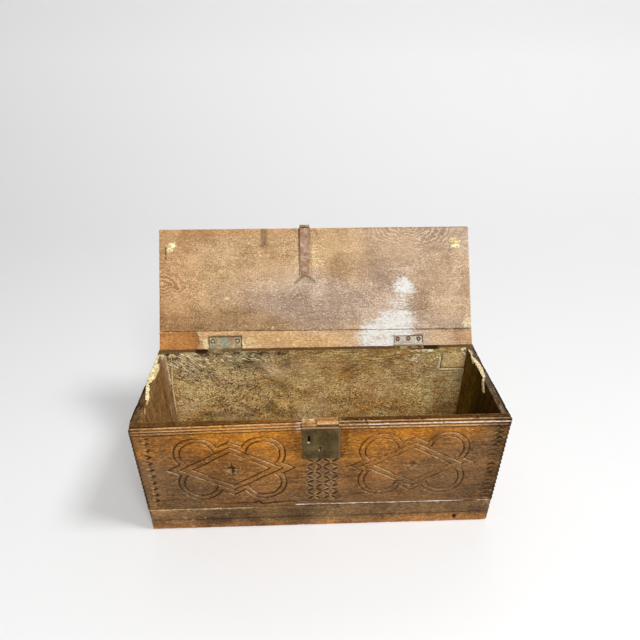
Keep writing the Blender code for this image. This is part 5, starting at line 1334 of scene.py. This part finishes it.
BRASS = iron_finish("grey_brass", (0.15, 0.120, 0.064), (0.54, 0.43, 0.262), (0.70, 0.52, 0.30),
                    (0.40, 0.66), 0.05, 300.0, stains=[verdigris, rust_bloom]
                    + round_heads("left", 0.0046, 0.0060, (0.075, 0.060, 0.035))
                    + dark_edges(lid_leaf_boxes[0], LEAF_REACHES[0], (0.06, 0.045, 0.022)))
PALE_IRON = iron_finish("whitened_iron", (0.36, 0.30, 0.22), (0.62, 0.56, 0.47), (0.78, 0.75, 0.69),
                        (0.42, 0.7), 0.05, 220.0,
                        stains=round_heads("right", 0.0046, 0.0066, (0.22, 0.105, 0.055))
                        + dark_edges(lid_leaf_boxes[1], LEAF_REACHES[1], (0.12, 0.085, 0.050)))
GRIMY = {side: iron_finish(f"grimy_{side}_leaf", (0.07, 0.042, 0.014), (0.26, 0.165, 0.064),
                           (0.46, 0.33, 0.16), (0.5, 0.8), 0.05, 220.0,
                           stains=[((0.0, AXIS_Y, 0.0), (0.0, 1.0, 0.0), 0.0030, 0.0040, paint)])
         for side, paint in (("left", (0.31, 0.29, 0.20)), ("right", (0.56, 0.49, 0.38)))}
RUST = iron_finish("rusty_screw", (0.060, 0.028, 0.012), (0.15, 0.065, 0.030), (0.25, 0.13, 0.065),
                   (0.6, 0.85), 0.05, 420.0,
                   stains=round_heads("right", 0.0014, 0.0026, (0.66, 0.54, 0.44)))
SCREW_GREY = iron_finish("grey_screw", (0.10, 0.065, 0.032), (0.22, 0.15, 0.080), (0.36, 0.27, 0.16),
                         metal=0.05, grain=420.0,
                         stains=round_heads("left", 0.0016, 0.0030, (0.80, 0.62, 0.42)))
for side, leaf_finish, screw_finish in (("left", BRASS, SCREW_GREY), ("right", PALE_IRON, RUST)):
    dress(leaf_finish, [f"{side}_hinge_lid_leaf", f"{side}_hinge_pin"], 0.00025)
    dress(GRIMY[side], [f"{side}_hinge_box_leaf"], 0.00025)
    dress(screw_finish, screws[side])

# Strap and hasp: forged iron, the strap nailed under the lid, the hasp hung from it on a pin.
# A staple is riveted through the hasp, and the bolt of the lock runs through its eye.
# The iron is rusted a warm pinkish brown, and worn pale on its high places. Dark lines across it at the
# knuckle and along its edges are painted shadow.
BLACKENED = (0.016, 0.011, 0.008)
# Painted shadow: dark lines across the strap at its knuckle and along both its edges.
strap_lines = [(tuple(hinge_line + reach * np.array(along_lid)), along_lid, wide, 1.8 * wide, BLACKENED)
               for reach, wide in ((0.2643, 0.0007), (0.2712, 0.0012))]
strap_lines.append(((strap_low.x, 0.0, 0.0), (1.0, 0.0, 0.0), 0.0010, 0.0020, (0.05, 0.030, 0.018)))
strap_lines.append(((strap_high.x, 0.0, 0.0), (1.0, 0.0, 0.0), 0.0006, 0.0015, (0.09, 0.052, 0.030)))
FORGED = iron_finish("forged_iron", (0.24, 0.125, 0.072), (0.46, 0.265, 0.165), (0.60, 0.45, 0.33),
                     (0.5, 0.78), 0.03, 300.0, stains=strap_lines)
dress(FORGED, ["hasp_strap", "hasp", "hasp_staple", "hasp_pin"], 0.0004)
dress(FORGED, [f"hasp_strap_nail_{k}" for k in (1, 2, 3)], 0.0004)

# Residues: hardened cream glue that ran from the rims, and lumps of it left on the lid and the back.
# Each is a lumpy bead that lies along a path on the wood and sinks into it at its edges.
# They keep below the rims, so the lid still shuts.
GLUE_Z = 0.2698


def crust(name, fineness, span_of, dark, light, rough, paler=None):
    """Hard lumpy residue: two colours by fine noise and, where given, a paler one in patches over them."""
    made, tree, shader = new_finish(name)
    place = add(tree, "TexCoord").outputs["Object"]
    lumps = noise(tree, place, fineness, 4.0, 0.6)
    colour = tint(tree, span(tree, lumps, *span_of), dark, light)
    if paler:
        colour = tint(tree, span(tree, noise(tree, place, 150.0, 3.0), 0.48, 0.60), colour, paler)
    tree.links.new(colour, shader.inputs["Base Color"])
    shader.inputs["Roughness"].default_value = rough
    bump = add(tree, "Bump", Height=lumps, Strength=0.4, Distance=0.0010)
    tree.links.new(bump.outputs["Normal"], shader.inputs["Normal"])
    return made


def bead(path, half, rise, out, seed):
    """Rings of a lumpy bead: an oval about each point of a path, drawn in to nothing at its ends.
    Noise along and round it makes it wide, thin or broken."""
    path = np.array(path, float)
    gone = np.concatenate([[0.0], np.cumsum(np.linalg.norm(np.diff(path, axis=0), axis=1))])
    t = np.linspace(0, gone[-1], max(10, int(gone[-1] / 0.0012)))
    middle = np.stack([np.interp(t, gone, path[:, k]) for k in range(3)], 1)
    ahead = np.gradient(middle, axis=0)
    ahead /= np.linalg.norm(ahead, axis=1)[:, None]
    out = np.array(out, float) / np.linalg.norm(out)
    aside = np.cross(ahead, out)
    turn = np.linspace(0, 2 * np.pi, 15)[:-1]
    close = np.sqrt(np.clip(1 - (2 * t / gone[-1] - 1) ** 4, 0.0004, 1))[:, None]
    lump = (0.45 + 1.1 * clouds(t[:, None] * 300, np.cos(turn)[None] * 1.2,
                                np.sin(turn)[None] * 1.2, 3, seed))
    size = close * lump
    return (middle[:, None] + aside[:, None] * (half * size * np.cos(turn))[..., None]
            + out * (rise * size * np.sin(turn))[..., None])


def on_lid(x, s):
    """A point on the lid's inner face, with the lid open."""
    return opened(np.array([x, -s, LID_UNDER]))


CREAM_CRUST = crust("cream_crust", 300.0, (0.38, 0.56), (0.40, 0.24, 0.06), (0.84, 0.68, 0.30), 0.6,
                    (0.94, 0.87, 0.60))
DULL_CRUST = crust("dull_crust", 320.0, (0.36, 0.60), (0.44, 0.32, 0.14), (0.95, 0.82, 0.50), 0.7)
left_in, right_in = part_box("left_side_board")[1].x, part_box("right_side_board")[0].x
left_rim, right_rim = left_in - 0.0070, right_in + 0.0050
glue = [("glue_left_rim", "box",
         [(left_rim - 0.002, 0.0760, GLUE_Z), (left_rim, 0.050, GLUE_Z),
          (left_rim - 0.002, 0.024, GLUE_Z), (left_rim - 0.003, 0.004, GLUE_Z)], 0.0062, 0.0013,
         (0, 0, 1)),
        ("glue_left_rim_rear", "box",
         [(left_rim - 0.004, 0.1110, GLUE_Z), (left_rim - 0.0055, 0.095, GLUE_Z),
          (left_rim - 0.004, 0.070, GLUE_Z)], 0.0024, 0.0012, (0, 0, 1)),
        ("glue_left_rim_fleck", "box",
         [(left_rim + 0.002, 0.1100, GLUE_Z), (left_rim + 0.001, 0.100, GLUE_Z)], 0.0018, 0.0010,
         (0, 0, 1)),
        ("glue_left_rim_out", "box",
         [(left_rim - 0.0050, 0.070, 0.2697), (left_rim - 0.0055, 0.040, 0.2697),
          (left_rim - 0.0050, 0.012, 0.2697)], 0.0030, 0.0013, (0, 0, 1)),
        ("glue_left_lip", "box",
         [(left_in - 0.002, 0.062, 0.2693), (left_in - 0.003, 0.040, 0.2693),
          (left_in - 0.003, 0.016, 0.2693)], 0.0030, 0.0016, (0, 0, 1)),
        ("glue_left_tail", "box",
         [(left_rim - 0.004, 0.008, GLUE_Z), (left_rim + 0.001, -0.014, GLUE_Z),
          (left_in - 0.002, -0.034, 0.2696), (left_in - 0.0002, -0.047, 0.2682),
          (left_in + 0.0002, -0.054, 0.2620)], 0.0036, 0.0016, (0.3, 0, 1)),
        ("glue_left_drop", "box", [(left_in, -0.066, 0.2660), (left_in, -0.072, 0.2540)], 0.0016, 0.0010,
         (1, 0, 0)),
        ("glue_right_rim", "box",
         [(right_rim - 0.003, 0.074, GLUE_Z), (right_rim - 0.001, 0.050, GLUE_Z),
          (right_rim, 0.030, GLUE_Z), (right_rim - 0.002, 0.002, 0.2697)], 0.0046, 0.0013, (0, 0, 1)),
        ("glue_right_rear", "box",
         [(right_in + 0.0010, 0.108, 0.2697), (right_in + 0.0012, 0.070, 0.2697)], 0.0012, 0.0010,
         (0, 0, 1)),
        ("glue_right_lump", "box",
         [(right_in, 0.082, 0.2690), (right_in, 0.068, 0.2670), (right_in, 0.062, 0.2610)], 0.0034,
         0.0022, (-1, 0, 0)),
        ("glue_right_run", "box",
         [(right_in, -0.001, 0.2706), (right_in, -0.008, 0.2620), (right_in, -0.0205, 0.2470)], 0.0048,
         0.0028, (-1, 0, 0)),
        ("patch_filler_side", "box",
         [(patch_low.x - 0.0034, back_low.y, patch_low.z - 0.0030),
          (patch_low.x - 0.0034, back_low.y, patch_low.z + 0.0340)], 0.0025, 0.0008, (0, -1, 0)),
        ("patch_filler_low", "box",
         [(patch_low.x - 0.0030, back_low.y, patch_low.z - 0.0032),
          (patch_high.x + 0.0010, back_low.y, patch_low.z - 0.0032)], 0.0024, 0.0008, (0, -1, 0)),
        ("glue_seam_back", "box",
         [(-0.3170, back_low.y, 0.2620), (-0.3220, back_low.y, 0.2200), (-0.3270, back_low.y, 0.1750),
          (-0.3285, back_low.y, 0.1000)], 0.0015, 0.0008, (0, -1, 0)),
        ("glue_seam_corner", "box",
         [(left_in + 0.0006, back_low.y - 0.0006, 0.2680),
          (left_in + 0.0006, back_low.y - 0.0006, 0.1850)], 0.0014, 0.0014, (1, -1, 0)),
        ("glue_back_corner", "box",
         [(-0.325, back_low.y, 0.2590), (-0.316, back_low.y, 0.2650), (-0.307, back_low.y, 0.2610)],
         0.0044, 0.0022, (0, -1, 0)),
        ("white_corner", "box", [(0.3150, back_low.y, 0.2640), (0.3265, back_low.y, 0.2690)], 0.0036,
         0.0014, (0, -1, 0)),
        ("white_corner_low", "box", [(0.3165, back_low.y, 0.2590), (0.3275, back_low.y, 0.2545)], 0.0028,
         0.0010, (0, -1, 0)),
        ("glue_lid_left", "lid", [on_lid(-0.318, 0.234), on_lid(-0.320, 0.222), on_lid(-0.325, 0.211)],
         0.0074, 0.0016, lid_out),
        ("glue_lid_left_low", "lid", [on_lid(-0.312, 0.235), on_lid(-0.310, 0.221)], 0.0038, 0.0012,
         lid_out),
        ("glue_lid_right", "lid", [on_lid(0.304, 0.237), on_lid(0.314, 0.226), on_lid(0.322, 0.213)],
         0.0066, 0.0016, lid_out),
        ("glue_lid_right_side", "lid", [on_lid(0.304, 0.217), on_lid(0.326, 0.231)], 0.0042, 0.0012,
         lid_out),
        ("glue_lid_right_up", "lid", [on_lid(0.314, 0.240), on_lid(0.315, 0.226)], 0.0030, 0.0012, lid_out)]
for number, (name, body, path, half, rise, out) in enumerate(glue):
    rings = bead(path, half, rise, out, 91 + number)
    if body == "box":
        rings[..., 0] = np.clip(rings[..., 0], front_low.x + 0.0002, front_high.x - 0.0002)
        rings[..., 2] = np.minimum(rings[..., 2], front_high.z - 0.0001)
    dull = body == "box" and any(word in name for word in ("right", "patch", "seam"))
    skin(name, rings, body, DULL_CRUST if dull else CREAM_CRUST)
burr = bead([(u, back_low.y, v) for u, v in SCRATCH], 0.0015, 0.0004, (0, -1, 0), 119)
raised = skin("scratch_burr", burr, "box", PALE_OAK)
note(raised, outer=0.0, rub=0.8, cream=0.72)

# Floor and light: a plain pale sheet that sweeps up behind, a large soft light from the upper right,
# an even glow from all round, and a weak light from the front.
# The camera stands a little left of the middle and looks down into the box.
SHEET_BACK = 1.5
SHEET_BEND = 0.9
SHEET_HALF = 4.0
SHEET_NEAR, SHEET_TOP = -4.0, 4.0
SHEET_DROP = 0.0004
KEY_LIGHT = ("key", (5.30, -1.00, 8.65), 480.0, 2.4)
FRONT_LIGHT = ("front", (0.35, -2.15, 2.4), 62.0, 1.5)
LIGHTS_AIM = (0.0, 0.0, 0.15)
GLOW = 0.225
LENS_MM, LENS_SHIFT = 29.115, 0.04588
CAMERA_AT = (-0.03060, -0.83382, 0.88072)
CAMERA_DOWN, CAMERA_ROLL, CAMERA_TURN = 32.652, -0.082, -2.117
turn = np.radians(np.linspace(0, 90, 24))
sheet_y = np.concatenate([[SHEET_NEAR], SHEET_BACK + SHEET_BEND * np.sin(turn),
                          [SHEET_BACK + SHEET_BEND]])
sheet_z = np.concatenate([[0.0], SHEET_BEND * (1 - np.cos(turn)), [SHEET_TOP]]) - SHEET_DROP
across = np.linspace(-SHEET_HALF, SHEET_HALF, 2)
points = np.stack(np.broadcast_arrays(across[None, :], sheet_y[:, None], sheet_z[:, None]),
                  -1).reshape(-1, 3)
k = np.arange(len(sheet_y) - 1) * 2
sheet_mesh = bpy.data.meshes.new("sheet")
sheet_mesh.from_pydata(points.tolist(), [], np.stack([k, k + 1, k + 3, k + 2], 1).tolist())
sheet_mesh.shade_smooth()
PAPER, tree, shader = new_finish("pale_sheet")
faint = noise(tree, add(tree, "TexCoord").outputs["Object"], 3.0, 3.0)
height = add(tree, "SeparateXYZ", Vector=add(tree, "TexCoord").outputs["Object"]).outputs["Z"]
colour = tint(tree, faint, (0.835, 0.835, 0.835), (0.847, 0.847, 0.847))
tree.links.new(tint(tree, span(tree, height, 0.02, 0.7), colour, (1.0, 1.0, 1.0)),
               shader.inputs["Base Color"])
shader.inputs["Roughness"].default_value = 0.9
shader.inputs["Specular IOR Level"].default_value = 0.1
sheet_mesh.materials.append(PAPER)
sheet = bpy.data.objects.new("sheet", sheet_mesh)
bpy.context.scene.collection.objects.link(sheet)
world = bpy.data.worlds.new("even_glow")
world.use_nodes = True
world.node_tree.nodes["Background"].inputs["Color"].default_value = (1.0, 1.0, 1.0, 1.0)
world.node_tree.nodes["Background"].inputs["Strength"].default_value = GLOW
bpy.context.scene.world = world
for name, place, power, size in (KEY_LIGHT, FRONT_LIGHT):
    lamp = bpy.data.lights.new(name, "AREA")
    lamp.energy = power
    lamp.size = size
    holder = bpy.data.objects.new(name, lamp)
    away = np.array(place) - np.array(LIGHTS_AIM)
    holder.location = place
    holder.rotation_euler = (math.atan2(np.hypot(away[0], away[1]), away[2]), 0.0,
                             math.atan2(away[0], -away[1]))
    bpy.context.scene.collection.objects.link(holder)
lens = bpy.data.cameras.new("camera")
lens.lens = LENS_MM
lens.shift_y = LENS_SHIFT
camera = bpy.data.objects.new("camera", lens)
camera.location = CAMERA_AT
camera.rotation_euler = [math.radians(turned) for turned in (90 - CAMERA_DOWN, CAMERA_ROLL, CAMERA_TURN)]
bpy.context.scene.collection.objects.link(camera)
bpy.context.scene.camera = camera
bpy.context.scene.view_settings.view_transform = "Standard"
